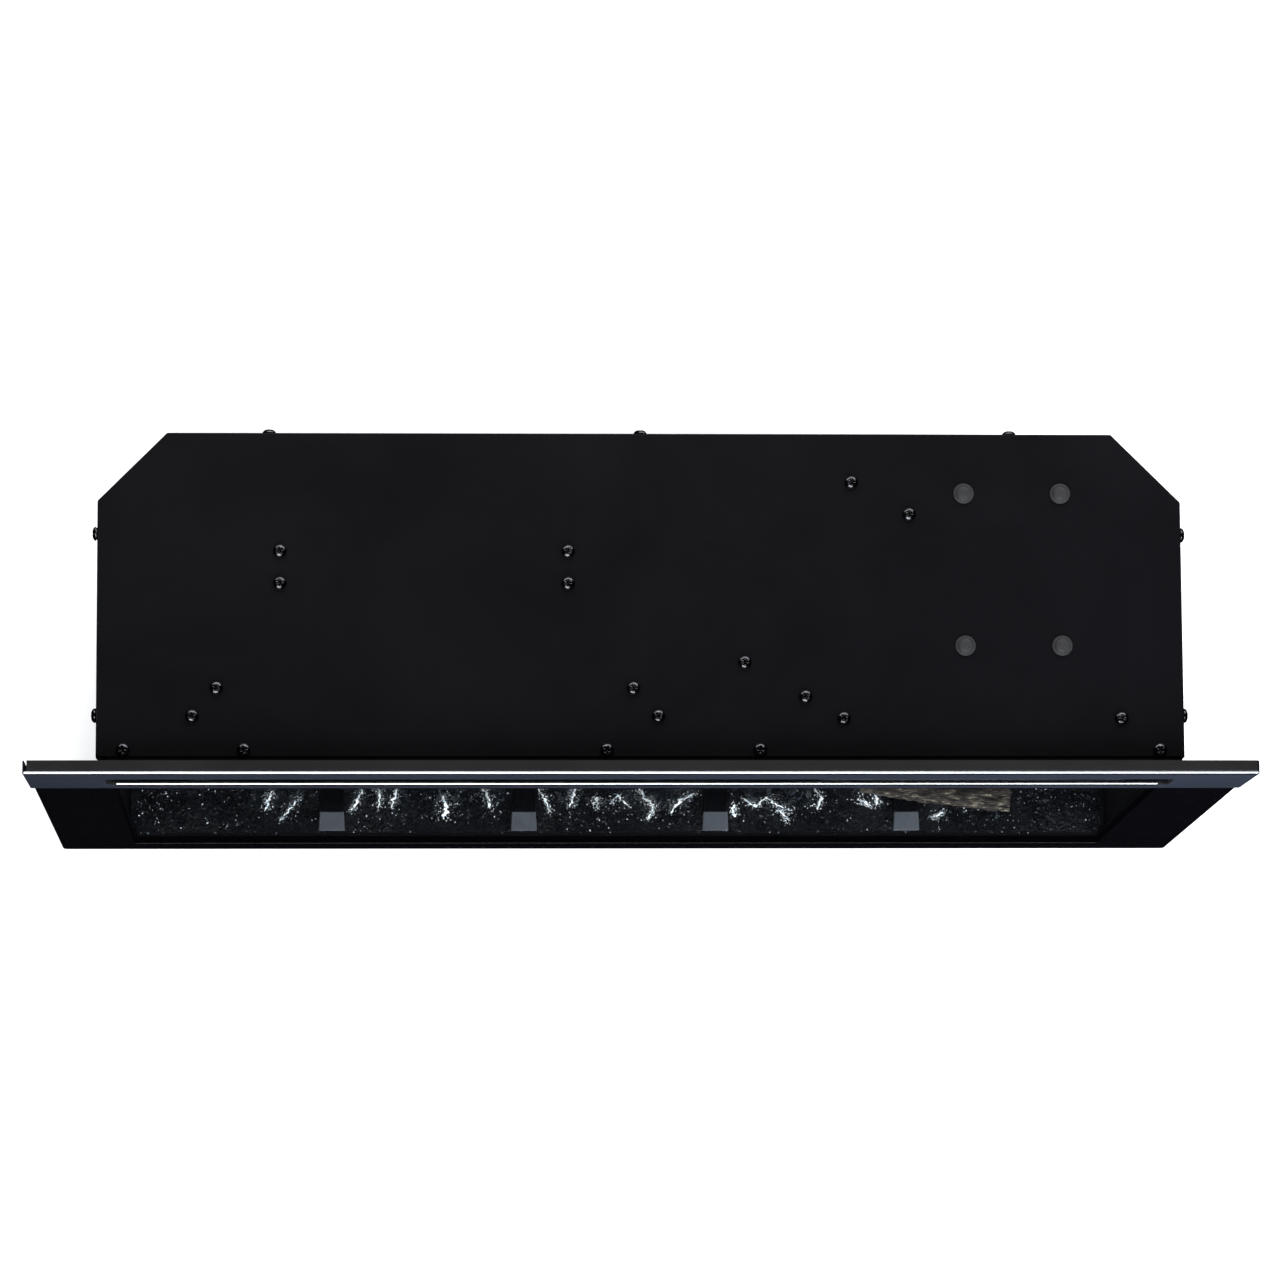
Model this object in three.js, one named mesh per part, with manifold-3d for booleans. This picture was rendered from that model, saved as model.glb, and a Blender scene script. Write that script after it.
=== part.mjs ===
// Built-in linear electric fireplace: black sheet-steel casing, folded outlet fascia over a
// black front glass, heater and blower behind the outlet slot, media bed and flicker rod below.
// Millimetres. +X right, +Y back, +Z up; the origin is the middle of the casing's underside.
import * as THREE from "three";
import { mergeVertices } from "three/addons/utils/BufferGeometryUtils.js";
import Module from "manifold-3d";

const wasm = await Module();
wasm.setup();

// Driving dimensions.
const CASE_W = 770;
const CASE_D = 237;
const CASE_H = 450;
const CHAMFER = 49;
const SHEET = 1.2;
const GAP = 0.3;
const SKIRT_H = 15;
const FASCIA_W = 870;
const FASCIA_H = 495;
const FASCIA_DROP = 22;
const RETURN = 9.2;
const LID_SETBACK = 5;
const WALL_STEP = 0.3;
const STRIP_H = 97;
const SLOT_W = 757;
const SLOT_H = 40;
const SLOT_BELOW_TOP = 38;
const GLASS_W = 864;
const GLASS_T = 4;
const WINDOW_W = 748;
const HEAD_R = 4.75;
const SHANK_R = 1.9;
const CAP_R = 7.3;
const GLASS_STANDOFF = 2.3;
const LEDGE_GAP = 0.8;
const TRAY_Z = 26;
const BED_TOP = 48;

// Planes everything else is set from.
const FRONT = -CASE_D / 2;
const BACK = CASE_D / 2;
const FACE = FRONT - RETURN;
const FASCIA_LOW = -FASCIA_DROP;
const FASCIA_TOP = FASCIA_LOW + FASCIA_H;
const STRIP_LOW = FASCIA_TOP - STRIP_H;
const LID_UNDER = CASE_H - SHEET;
const FLANGE_TOP = LID_UNDER - GAP;
const FLANGE_LOW = FLANGE_TOP - SHEET;
const DUCT_X = -153.5;
const DUCT_LOW = 390;
const SLOT_MID = FASCIA_TOP - SLOT_BELOW_TOP - SLOT_H / 2;

// Fixings seen on the lid, as x and distance behind the front plane.
const BLOWER_SCREWS = [[-256, 152], [-256, 129], [-52, 152], [-52, 129]];
const DUCT_SCREWS = [[-300.5, 54], [-317.5, 34], [-6, 54], [11.5, 34]];
const SUPPLY_SCREWS = [[73, 72.5], [116, 48], [150, 202], [191, 179]];
const SWITCH_SCREWS = [[143, 32.5], [340.5, 32.5]];
const FRONT_SCREWS = [[-366, 10], [-281, 10], [-25, 10], [83.5, 10], [367.5, 10]];
const BOARD_STUDS = [[230, 194], [299, 194], [230, 84.5], [299, 84.5]];
const BACK_SCREW_X = [-264, 0, 264];
const SIDE_SCREW_Y = [165.5, 35.5];
const ARM_X = [-222, -74, 74, 222];

const root = new THREE.Group();
root.name = "electric_fireplace";

const finish = (name, colour, roughness, metalness) =>
  new THREE.MeshStandardMaterial({ name, color: colour, roughness, metalness });
const black = finish("casing_paint", 0x1b1b1f, 0.5, 0.2);
const fasciaPaint = finish("fascia_paint", 0x2a2f3a, 0.35, 0.4);
const glassBlack = finish("front_glass", 0x07070b, 0.08, 0);
const zinc = finish("galvanised_sheet", 0x9a9c9e, 0.4, 0.9);
const screwSteel = finish("black_screw", 0x101012, 0.25, 0.8);
const capPlastic = finish("cap_plastic", 0x2b2b2d, 0.7, 0);
const darkPlastic = finish("dark_plastic", 0x161618, 0.5, 0);
const boardGreen = finish("circuit_board", 0x1d4a2c, 0.5, 0);
const lampWhite = finish("light_strip", 0xd8d8d2, 0.5, 0);
const clearIce = finish("acrylic_ice", 0xdfe8f2, 0.05, 0);
const crushed = finish("crushed_glass", 0x23262c, 0.15, 0);
const driftwood = finish("driftwood", 0x6a5646, 0.9, 0);
const screenGrey = finish("flame_screen", 0x4a4c50, 0.3, 0);
const armBlack = finish("bed_rail_paint", 0x24282e, 0.5, 0.3);
const heatAlloy = finish("heater_alloy", 0x8d8f93, 0.35, 0.9);
const rubber = finish("grommet_rubber", 0x0f0f10, 0.9, 0);

function solid(geometry) {
  const g = geometry.clone();
  g.deleteAttribute("normal");
  g.deleteAttribute("uv");
  const m = mergeVertices(g, 1e-4);
  const mesh = new wasm.Mesh({
    numProp: 3,
    vertProperties: m.attributes.position.array,
    triVerts: new Uint32Array(m.index.array),
  });
  return new wasm.Manifold(mesh);
}

function add(name, shape, material) {
  const m = shape.getMesh();
  const points = new Float32Array(m.numVert * 3);
  for (let i = 0; i < m.numVert; i++) {
    points.set(m.vertProperties.subarray(i * m.numProp, i * m.numProp + 3), i * 3);
  }
  const g = new THREE.BufferGeometry();
  g.setAttribute("position", new THREE.BufferAttribute(points, 3));
  g.setIndex(new THREE.BufferAttribute(new Uint32Array(m.triVerts), 1));
  const flat = g.toNonIndexed();
  flat.computeVertexNormals();
  const mesh = new THREE.Mesh(flat, material);
  mesh.name = name;
  root.add(mesh);
  return shape;
}

// A block between two corners.
function block(x0, x1, y0, y1, z0, z1) {
  const g = new THREE.BoxGeometry(x1 - x0, y1 - y0, z1 - z0);
  g.translate((x0 + x1) / 2, (y0 + y1) / 2, (z0 + z1) / 2);
  return solid(g);
}

// A plan outline raised from z0 to z1.
function prism(points, z0, z1) {
  const shape = new THREE.Shape(points.map(([x, y]) => new THREE.Vector2(x, y)));
  const g = new THREE.ExtrudeGeometry(shape, { depth: z1 - z0, bevelEnabled: false });
  g.translate(0, 0, z0);
  return solid(g);
}

// A side outline (y, z) run along X from x0 to x1.
function runAlongX(points, x0, x1) {
  const shape = new THREE.Shape(points.map(([y, z]) => new THREE.Vector2(y, z)));
  const g = new THREE.ExtrudeGeometry(shape, { depth: x1 - x0, bevelEnabled: false });
  const turn = new THREE.Matrix4().set(0, 0, 1, x0, 1, 0, 0, 0, 0, 1, 0, 0, 0, 0, 0, 1);
  g.applyMatrix4(turn);
  return solid(g);
}

function rod(radius, length, sides) {
  const g = new THREE.CylinderGeometry(radius, radius, length, sides);
  g.rotateX(Math.PI / 2);
  return solid(g);
}

function union(shapes) {
  return wasm.Manifold.union(shapes);
}

function drilled(shape, points, radius, z, deep = 6) {
  const tool = rod(radius, deep, 10);
  return shape.subtract(union(points.map(([x, d]) => tool.translate([x, FRONT + d, z]))));
}

// Casing plan: straight sides, two 45 degree rear corners, open front.
function plan(inset, front) {
  const x = CASE_W / 2 - inset;
  const y = BACK - inset;
  const c = CHAMFER - inset * (2 - Math.SQRT2);
  return [[-x, front], [x, front], [x, y - c], [x - c, y], [-x + c, y], [-x, y - c]];
}

// Lid and base are pans whose skirts lap over the wrap-round shell.
function pan(plateLow, plateHigh, skirtLow, skirtHigh) {
  const plate = prism(plan(0, FRONT), plateLow, plateHigh);
  const outer = prism(plan(0, FRONT), skirtLow, skirtHigh);
  const inner = prism(plan(SHEET, FRONT - 5), skirtLow - 1, skirtHigh + 1);
  return union([plate, outer.subtract(inner)]);
}

const holeR = SHANK_R + 0.3;
const lidScrews = [
  ...BLOWER_SCREWS, ...DUCT_SCREWS, ...SUPPLY_SCREWS, ...SWITCH_SCREWS, ...FRONT_SCREWS,
];
const sideZ = CASE_H - 8.5;

function sideHoles(shape) {
  const tool = rod(holeR, 12, 10);
  const across = tool.rotate([0, 90, 0]);
  const along = tool.rotate([90, 0, 0]);
  const cuts = BACK_SCREW_X.map((x) => along.translate([x, BACK, sideZ]));
  for (const d of SIDE_SCREW_Y) {
    for (const side of [-1, 1]) cuts.push(across.translate([side * CASE_W / 2, FRONT + d, sideZ]));
  }
  return shape.subtract(union(cuts));
}

let lid = pan(LID_UNDER, CASE_H, CASE_H - SKIRT_H, LID_UNDER + 0.4);
lid = lid.subtract(block(-CASE_W, CASE_W, FRONT - 5, FRONT + LID_SETBACK, 400, 460));
lid = drilled(lid, lidScrews, holeR, CASE_H);
lid = drilled(lid, BOARD_STUDS, 3.3, CASE_H);
add("top_panel", sideHoles(lid), black);
add("base_panel", pan(0, SHEET, 0.8, SKIRT_H), black);

// The shell is one sheet folded round the two sides, the rear corners and the back.
const lap = SHEET + GAP;
const ENTRY = { x: 250, z: 60, r: 11 };
const shellOuter = prism(plan(lap, FRONT), SHEET + GAP, FLANGE_TOP);
const shellInner = prism(plan(lap + SHEET, FRONT - 5), 0, CASE_H);
let shell = sideHoles(shellOuter.subtract(shellInner));
const entryTool = rod(ENTRY.r, 12, 24).rotate([90, 0, 0]);
shell = shell.subtract(entryTool.translate([ENTRY.x, BACK - 2, ENTRY.z]));
add("casing_shell", shell, black);

// Bush that lines the supply cable's hole in the back.
const bushOut = BACK - lap;
const bushLip = rod(ENTRY.r + 2.5, 1, 24).rotate([90, 0, 0]);
const bush = union([
  rod(ENTRY.r - GAP, 5, 24).rotate([90, 0, 0]).translate([ENTRY.x, bushOut - 1, ENTRY.z]),
  bushLip.translate([ENTRY.x, bushOut + 0.7, ENTRY.z]),
  bushLip.translate([ENTRY.x, bushOut - SHEET - 0.9, ENTRY.z]),
]);
const bushBore = rod(8, 20, 24).rotate([90, 0, 0]).translate([ENTRY.x, bushOut, ENTRY.z]);
add("supply_grommet", bush.subtract(bushBore), rubber);

// Trim frame: flat ring behind the glass with a window for the fire and one for the outlet.
// Outside the casing it stands a little proud at the back, where it lies on the wall.
const ringBack = FRONT - 0.2;
const ringFront = ringBack - SHEET;
const ringX = GLASS_W / 2 - 1;
const WINDOW_LOW = TRAY_Z - SHEET - 1;
const WINDOW_HIGH = 366;
let ring = block(-ringX, ringX, ringFront, ringBack, FASCIA_LOW + 2, FASCIA_TOP - 2.5);
ring = ring.subtract(
  block(-WINDOW_W / 2, WINDOW_W / 2, ringFront - 3, ringBack + 3, WINDOW_LOW, WINDOW_HIGH),
);
ring = ring.subtract(
  block(-SLOT_W / 2 - 2, SLOT_W / 2 + 2, ringFront - 3, ringBack + 3, 389, 441),
);
const behindCasing = block(
  -CASE_W / 2 - 0.5, CASE_W / 2 + 0.5, ringBack - WALL_STEP, ringBack + 3, -0.5, CASE_H + 0.5,
);
add("trim_frame", ring.subtract(behindCasing), black);

// Angle behind the trim frame's top bar that the front of the lid is screwed down to.
const angleY = FRONT + GAP;
const lidAngle = union([
  block(-376, 376, angleY, FRONT + 20, FLANGE_LOW, FLANGE_TOP),
  block(-376, 376, angleY, angleY + SHEET, FLANGE_TOP - 7, FLANGE_TOP),
]);
add("lid_angle", drilled(lidAngle, FRONT_SCREWS, holeR, FLANGE_LOW), black);

// Outlet fascia: one sheet folded into a shallow tray open at the back, long slot through it.
const half = FASCIA_W / 2;
const slotLow = SLOT_MID - SLOT_H / 2;
const slotHigh = SLOT_MID + SLOT_H / 2;
const fasciaBack = FRONT - 0.2;
let strip = union([
  block(-half, half, FACE, FACE + SHEET, STRIP_LOW, FASCIA_TOP),
  block(-half + 3, half - 1.5, FACE + 0.4, fasciaBack, FASCIA_TOP - SHEET, FASCIA_TOP),
  block(-half, -half + SHEET, FACE + 0.4, fasciaBack, STRIP_LOW, FASCIA_TOP - 3),
  block(half - SHEET, half, FACE + 0.4, fasciaBack, STRIP_LOW, FASCIA_TOP - 3),
]);
const slotEnd = rod(6, 10, 16).rotate([90, 0, 0]);
const slotCut = wasm.Manifold.hull([
  slotEnd.translate([-SLOT_W / 2 + 6, FACE, slotLow + 6]),
  slotEnd.translate([SLOT_W / 2 - 6, FACE, slotLow + 6]),
  slotEnd.translate([-SLOT_W / 2 + 6, FACE, slotHigh - 6]),
  slotEnd.translate([SLOT_W / 2 - 6, FACE, slotHigh - 6]),
]);
strip = strip.subtract(slotCut);
const lip = block(-SLOT_W / 2 + 6, SLOT_W / 2 - 6, FACE, FACE + 5, slotLow - SHEET, slotLow);
add("outlet_fascia", union([strip, lip]), fasciaPaint);

const glassBack = ringFront - GLASS_STANDOFF;
add(
  "front_glass",
  block(-GLASS_W / 2, GLASS_W / 2, glassBack - GLASS_T, glassBack, FASCIA_LOW, STRIP_LOW - 0.6),
  glassBlack,
);

// Firebox liner: two cheeks and a ceiling folded from one sheet.
const linerX = 380;
const linerTop = 384;
const cheekLow = SHEET + GAP;
const linerBack = BACK - 55;
const liner = union([
  block(-linerX, linerX, FRONT + 1, linerBack, linerTop - SHEET, linerTop),
  block(-linerX, -linerX + SHEET, FRONT + 1, linerBack, cheekLow, linerTop),
  block(linerX - SHEET, linerX, FRONT + 1, linerBack, cheekLow, linerTop),
]);
add("firebox_liner", liner, black);

const inX = linerX - SHEET - GAP;
const screenY = FRONT + 60;
add("flame_screen", block(-inX, inX, screenY, screenY + 3, TRAY_Z + GAP, linerTop - 1.5), screenGrey);

// Media tray: folded steel channel on two legs, full width of the firebox. A narrower ledge runs
// out through the window and ends in a low lip just behind the glass.
const trayFront = FRONT + 1.2;
const ledgeX = WINDOW_W / 2 - 1.5;
const ledgeFront = glassBack + LEDGE_GAP;
const trayBack = screenY + 6;
const tray = union([
  block(-inX, inX, trayFront, trayBack, TRAY_Z - SHEET, TRAY_Z),
  block(-ledgeX, ledgeX, ledgeFront, trayFront + SHEET, TRAY_Z - SHEET, TRAY_Z),
  block(-ledgeX, ledgeX, ledgeFront, ledgeFront + SHEET, TRAY_Z - SHEET, TRAY_Z + 6),
  block(-inX, inX, trayBack - SHEET, trayBack, cheekLow, TRAY_Z),
  block(-inX, inX, trayFront, trayFront + SHEET, cheekLow, TRAY_Z),
]);
add("media_tray", tray, black);

// Bed rail: strip on the tray with four black arms that end in sloping grey toes at the glass.
const railZ = TRAY_Z + GAP;
const ARM = { half: 9, y0: -106, y1: -84, top: BED_TOP + 9 };
const TOE = { y: -120.2, front: 10, back: 9.2, low: BED_TOP + 2, high: BED_TOP + 8 };
const railBack = ARM.y1;
const railFront = ARM.y1 - 17;
const railParts = [block(-240, 240, railFront, railBack, railZ, railZ + 2)];
for (const x of ARM_X) {
  railParts.push(block(x - ARM.half, x + ARM.half, ARM.y0, ARM.y1, railZ, ARM.top));
  const toe = [[x - TOE.front, TOE.y], [x + TOE.front, TOE.y], [x + TOE.back, ARM.y0 + 0.5],
    [x - TOE.back, ARM.y0 + 0.5]];
  railParts.push(prism(toe, TOE.low, TOE.high));
}
add("bed_rail", union(railParts), armBlack);

// Crushed glass lies round the rail in low waves, right up to the lip behind the glass.
const bedX = inX - 2;
const bedFront = ledgeFront + SHEET + GAP;
const bedBack = screenY - GAP;
const bedGrid = new THREE.BoxGeometry(2 * bedX, bedBack - bedFront, BED_TOP - railZ, 44, 4, 1);
bedGrid.translate(0, (bedFront + bedBack) / 2, (BED_TOP + railZ) / 2);
const bp = bedGrid.attributes.position;
for (let i = 0; i < bp.count; i++) {
  if (bp.getZ(i) < BED_TOP - 1) continue;
  const wave = Math.sin(bp.getX(i) * 0.11) + Math.sin(bp.getX(i) * 0.047 + bp.getY(i) * 0.2);
  bp.setZ(i, BED_TOP - 2 + wave);
}
const aroundParts = [
  block(-240 - GAP, 240 + GAP, railFront - GAP, railBack + GAP, railZ - 1, railZ + 2 + GAP),
];
for (const x of ARM_X) {
  const armSide = ARM.half + GAP;
  aroundParts.push(
    block(x - armSide, x + armSide, ARM.y0 - GAP, ARM.y1 + GAP, railZ - 1, ARM.top + GAP),
  );
}
const around = union(aroundParts);
const besideWindow = union([-1, 1].map((side) => block(
  Math.min(side * (ledgeX - GAP), side * (bedX + 1)), Math.max(side * (ledgeX - GAP), side * (bedX + 1)),
  bedFront - 1, trayFront + SHEET, railZ - 1, BED_TOP + 1,
)));
add("glass_bed", solid(bedGrid).subtract(around).subtract(besideWindow), crushed);

// Moulded acrylic ice: lumps between the arms, joined by a low rib that runs behind the arms.
function iceStrip(name, runs) {
  const first = runs[0][0];
  const last = runs[runs.length - 1][1];
  const pieces = [block(first, last, -81, -74, BED_TOP + GAP, BED_TOP + 7)];
  let i = 0;
  for (const [x0, x1] of runs) {
    const lumps = Math.max(2, Math.round((x1 - x0) / 15) + 1);
    for (let k = 0; k < lumps; k++) {
      const g = new THREE.IcosahedronGeometry(1, 0);
      g.scale(14 + 2 * Math.sin(i * 2.3), 15 + 1.5 * Math.cos(i * 1.7), 15 + 4 * Math.sin(i * 3.1));
      g.rotateZ(0.35 * Math.sin(i * 0.9));
      g.translate(x0 + (x1 - x0) * k / (lumps - 1), -91 + 1.5 * Math.sin(i * 2.1), BED_TOP + 8);
      pieces.push(solid(g));
      i += 1;
    }
  }
  const room = block(first - 40, last + 40, -107, -72, BED_TOP + GAP, BED_TOP + 40);
  add(name, union(pieces).intersect(room).subtract(around), clearIce);
}
iceStrip("ice_left", [[-281, -252], [-197, -99]]);
iceStrip("ice_right", [[-47, 50], [99, 158]]);

// Driftwood: tapered, slightly bowed branch whose thin end lies across the right-hand arm.
const LOG = { x: 245, y: -89, z: BED_TOP + 14, long: 118, thick: 14, thin: 9.5 };
const branch = new THREE.CylinderGeometry(LOG.thin, LOG.thick, LOG.long, 12, 5);
branch.rotateZ(Math.PI / 2);
const wp = branch.attributes.position;
for (let i = 0; i < wp.count; i++) {
  const x = wp.getX(i);
  const bow = 2 * Math.cos(x * 0.03);
  wp.setXYZ(i, x, wp.getY(i) * 0.9, wp.getZ(i) * (1 + 0.06 * Math.sin(x * 0.13)) + bow);
}
branch.rotateZ(-0.124);
branch.translate(LOG.x, LOG.y, LOG.z);
const logCut = block(180, 330, -108, screenY - 0.5, BED_TOP + GAP, 130);
add("driftwood_log", solid(branch).intersect(logCut).subtract(around), driftwood);

// Lamp board: a long flat board with a row of square lamps, lying on the base behind the tray.
const LAMP = { half: 320, y: screenY + 18, depth: 12, thick: 1.6, pitch: 62 };
const lampParts = [
  block(-LAMP.half, LAMP.half, LAMP.y, LAMP.y + LAMP.depth, cheekLow, cheekLow + LAMP.thick),
];
for (let x = -LAMP.half + 25; x < LAMP.half; x += LAMP.pitch) {
  lampParts.push(block(x - 2.5, x + 2.5, LAMP.y + 3, LAMP.y + 8, cheekLow + 1.2, cheekLow + 3));
}
add("rear_lamp_board", union(lampParts), lampWhite);

// Flicker rod with mirror vanes, driven from the left, in a bearing bracket at the right.
const ROD = { y: screenY + 62, z: 52, r: 3, clear: 0.08 };
const bore = (r, sides) => (r + ROD.clear) / Math.cos(Math.PI / sides);
function alongX(shape, x, y, z) {
  return shape.rotate([0, 90, 0]).translate([x, y, z]);
}
const vanes = [alongX(rod(ROD.r, 706, 16), 4, ROD.y, ROD.z)];
for (let i = 0; i < 13; i++) {
  const vane = block(-12, 12, -17, 17, -0.4, 0.4).rotate([i * 53, 0, 0]);
  vanes.push(vane.translate([-312 + i * 52, ROD.y, ROD.z]));
}
add("flicker_rod", union(vanes), zinc);

const motorBore = alongX(rod(bore(ROD.r, 16), 14, 16), -347, ROD.y, ROD.z);
const flickerMotor = union([
  alongX(rod(21, 20, 24), -352, ROD.y, ROD.z),
  block(-342.5, -341, ROD.y - 26, ROD.y + 26, cheekLow, ROD.z + 6),
  block(-362, -341, ROD.y - 26, ROD.y + 26, cheekLow, cheekLow + SHEET),
]);
add("flicker_motor", flickerMotor.subtract(motorBore), zinc);
const bearing = union([
  block(349, 355, ROD.y - 9, ROD.y + 9, cheekLow, ROD.z + 10),
  block(338, 355, ROD.y - 9, ROD.y + 9, cheekLow, cheekLow + SHEET),
]);
const bearingBore = alongX(rod(bore(ROD.r, 16), 30, 16), 352, ROD.y, ROD.z);
add("flicker_bearing", bearing.subtract(bearingBore), darkPlastic);

// Heater duct: flat wedge that widens from the blower to the outlet slot.
const ductHalf = (d) => 174 - 0.83 * (d - 8);
function wedge(extra, d0, d1, z0, z1) {
  const a = ductHalf(d0) + extra;
  const b = ductHalf(d1) + extra;
  return prism([[DUCT_X - a, FRONT + d0], [DUCT_X + a, FRONT + d0],
    [DUCT_X + b, FRONT + d1], [DUCT_X - b, FRONT + d1]], z0, z1);
}
let duct = wedge(0, 21, 112, DUCT_LOW, FLANGE_TOP);
duct = duct.subtract(wedge(-SHEET * 1.3, 15, 118, DUCT_LOW + SHEET, FLANGE_LOW));
duct = union([duct, wedge(21, 24, 62, FLANGE_LOW, FLANGE_TOP)]);
add("heater_duct", drilled(duct, DUCT_SCREWS, holeR, FLANGE_LOW), zinc);

const heatY = FRONT + 84;
const heatLow = DUCT_LOW + SHEET + GAP;
const heatHigh = FLANGE_LOW - GAP;
const heatParts = [
  block(DUCT_X - 84, DUCT_X + 84, heatY, heatY + 16, heatLow, heatLow + 4),
  block(DUCT_X - 84, DUCT_X + 84, heatY, heatY + 16, heatHigh - 4, heatHigh),
];
for (let i = 0; i < 15; i++) {
  const x = DUCT_X - 82 + i * 11.72;
  heatParts.push(block(x - 1, x + 1, heatY + 2, heatY + 14, heatLow + 3, heatHigh - 3));
}
add("heating_element", union(heatParts), heatAlloy);

// Cross-flow blower: two end plates, curved rear guide and front tongue round the wheel.
const FAN = { y: FRONT + 141, z: 419, r: 22, x0: -246, x1: -61, shaft: 2.5 };
const endOutline = [[FRONT + 112.6, 391], [FRONT + 165, 391], [FRONT + 171, 405],
  [FRONT + 171, FLANGE_LOW + 0.6], [FRONT + 112.6, FLANGE_LOW + 0.6]];
const guideOut = [];
const guideIn = [];
for (let i = 0; i <= 8; i++) {
  const a = (-20 + i * 16.25) * Math.PI / 180;
  guideOut.push([FAN.y + 26.5 * Math.cos(a), FAN.z + 26.5 * Math.sin(a)]);
  guideIn.push([FAN.y + 25.3 * Math.cos(a), FAN.z + 25.3 * Math.sin(a)]);
}
guideOut.push([FRONT + 112.6, FLANGE_LOW - 2]);
guideIn.push([FRONT + 112.6, FLANGE_LOW - 3.2]);
const fanParts = [
  runAlongX(endOutline, FAN.x0, FAN.x0 + 1.5),
  runAlongX(endOutline, FAN.x1 - 1.5, FAN.x1),
  runAlongX([...guideOut, ...guideIn.reverse()], FAN.x0 + 1, FAN.x1 - 1),
  block(FAN.x0 + 1, FAN.x1 - 1, FRONT + 112.6, FRONT + 119, 392, 393.2),
  block(FAN.x0 + 1, FAN.x1 - 1, FRONT + 117.8, FRONT + 119, 392, 404),
  block(FAN.x0 - 18, FAN.x0 + 1.5, FRONT + 121, FRONT + 160, FLANGE_LOW, FLANGE_TOP),
  block(FAN.x1 - 1.5, FAN.x1 + 18, FRONT + 121, FRONT + 160, FLANGE_LOW, FLANGE_TOP),
];
const fanBore = alongX(rod(bore(FAN.shaft, 16), 240, 16), -150, FAN.y, FAN.z);
const fanCase = union(fanParts).subtract(fanBore);
add("blower_housing", drilled(fanCase, BLOWER_SCREWS, holeR, FLANGE_LOW), zinc);

const wheelX0 = FAN.x0 + 4;
const wheelX1 = FAN.x1 - 4;
const wheelParts = [alongX(rod(FAN.shaft, 208, 16), -146, FAN.y, FAN.z)];
for (const x of [wheelX0 + 1, (wheelX0 + wheelX1) / 2, wheelX1 - 1]) {
  wheelParts.push(alongX(rod(FAN.r, 2, 20), x, FAN.y, FAN.z));
}
for (let i = 0; i < 14; i++) {
  const blade = block(wheelX0, wheelX1, -0.6, 0.6, FAN.r - 7.5, FAN.r - 0.4);
  wheelParts.push(blade.rotate([i * 360 / 14, 0, 0]).translate([0, FAN.y, FAN.z]));
}
add("blower_wheel", union(wheelParts), darkPlastic);

// Small induction motor on the blower's right end: round can on a square lamination stack.
let fanMotor = union([
  alongX(rod(17, 24, 24), -46.5, FAN.y, FAN.z),
  block(-54, -42, FAN.y - 22, FAN.y + 22, FAN.z - 24, FAN.z + 20),
]);
fanMotor = fanMotor.subtract(alongX(rod(bore(FAN.shaft, 16), 24, 16), -52, FAN.y, FAN.z));
add("blower_motor", fanMotor, heatAlloy);

// Control board hung from four push-in studs.
const boardZ = CASE_H - 17;
const boardParts = [block(221, 308, FRONT + 76, FRONT + 203, boardZ, boardZ + 1.6)];
const chips = [[232, 110, 16, 20, 15], [252, 110, 16, 20, 15], [272, 110, 16, 20, 15],
  [240, 150, 28, 24, 18], [285, 148, 20, 16, 10], [262, 184, 30, 8, 9], [264, 88, 40, 8, 10]];
for (const [x, d, w, l, h] of chips) {
  const y = FRONT + d;
  boardParts.push(block(x - w / 2, x + w / 2, y - l / 2, y + l / 2, boardZ - h, boardZ + 0.5));
}
add("control_board", drilled(union(boardParts), BOARD_STUDS, 2.1, boardZ), boardGreen);

function lathe(points, sides) {
  const g = new THREE.LatheGeometry(points.map(([r, z]) => new THREE.Vector2(r, z)), sides);
  g.rotateX(Math.PI / 2);
  return solid(g);
}
const stud = lathe([[0, -21], [1.8, -21], [1.8, -15], [4, -15], [4, -1.6], [3, -1.6], [3, 0.3],
  [CAP_R, 0.3], [CAP_R, 1.4], [6.2, 3], [3.5, 4], [0, 4.3]], 16);
BOARD_STUDS.forEach(([x, d], i) => {
  add("board_stud_" + (i + 1), stud.translate([x, FRONT + d, CASE_H]), capPlastic);
});

// Power supply: closed tin turned 30 degrees, screwed up by its two end flanges.
const supplyBox = union([
  block(-64, 64, -27, 27, FLANGE_LOW - 34, FLANGE_LOW - GAP),
  block(-82, 82, -33, 33, FLANGE_LOW - 0.6, FLANGE_TOP),
]);
const supplyMid = [(73 + 116 + 150 + 191) / 4, FRONT + (72.5 + 48 + 202 + 179) / 4, 0];
const supply = supplyBox.rotate([0, 0, 60]).translate(supplyMid);
add("power_supply", drilled(supply, SUPPLY_SCREWS, holeR, FLANGE_LOW), zinc);

// Switch bracket: hanging channel behind the slot, with the rocker switch at its right end.
const SWITCH = { x: 322, z: 416, y: FRONT + 24 };
let bracket = union([
  block(133, 351, SWITCH.y, SWITCH.y + 17, FLANGE_LOW, FLANGE_TOP),
  block(133, 351, SWITCH.y, SWITCH.y + SHEET, 396, FLANGE_TOP),
]);
const cutOut = block(SWITCH.x - 14, SWITCH.x + 14, SWITCH.y - 4, SWITCH.y + 4, 406, 426);
bracket = drilled(bracket.subtract(cutOut), SWITCH_SCREWS, holeR, FLANGE_LOW);
add("switch_bracket", bracket, zinc);

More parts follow.
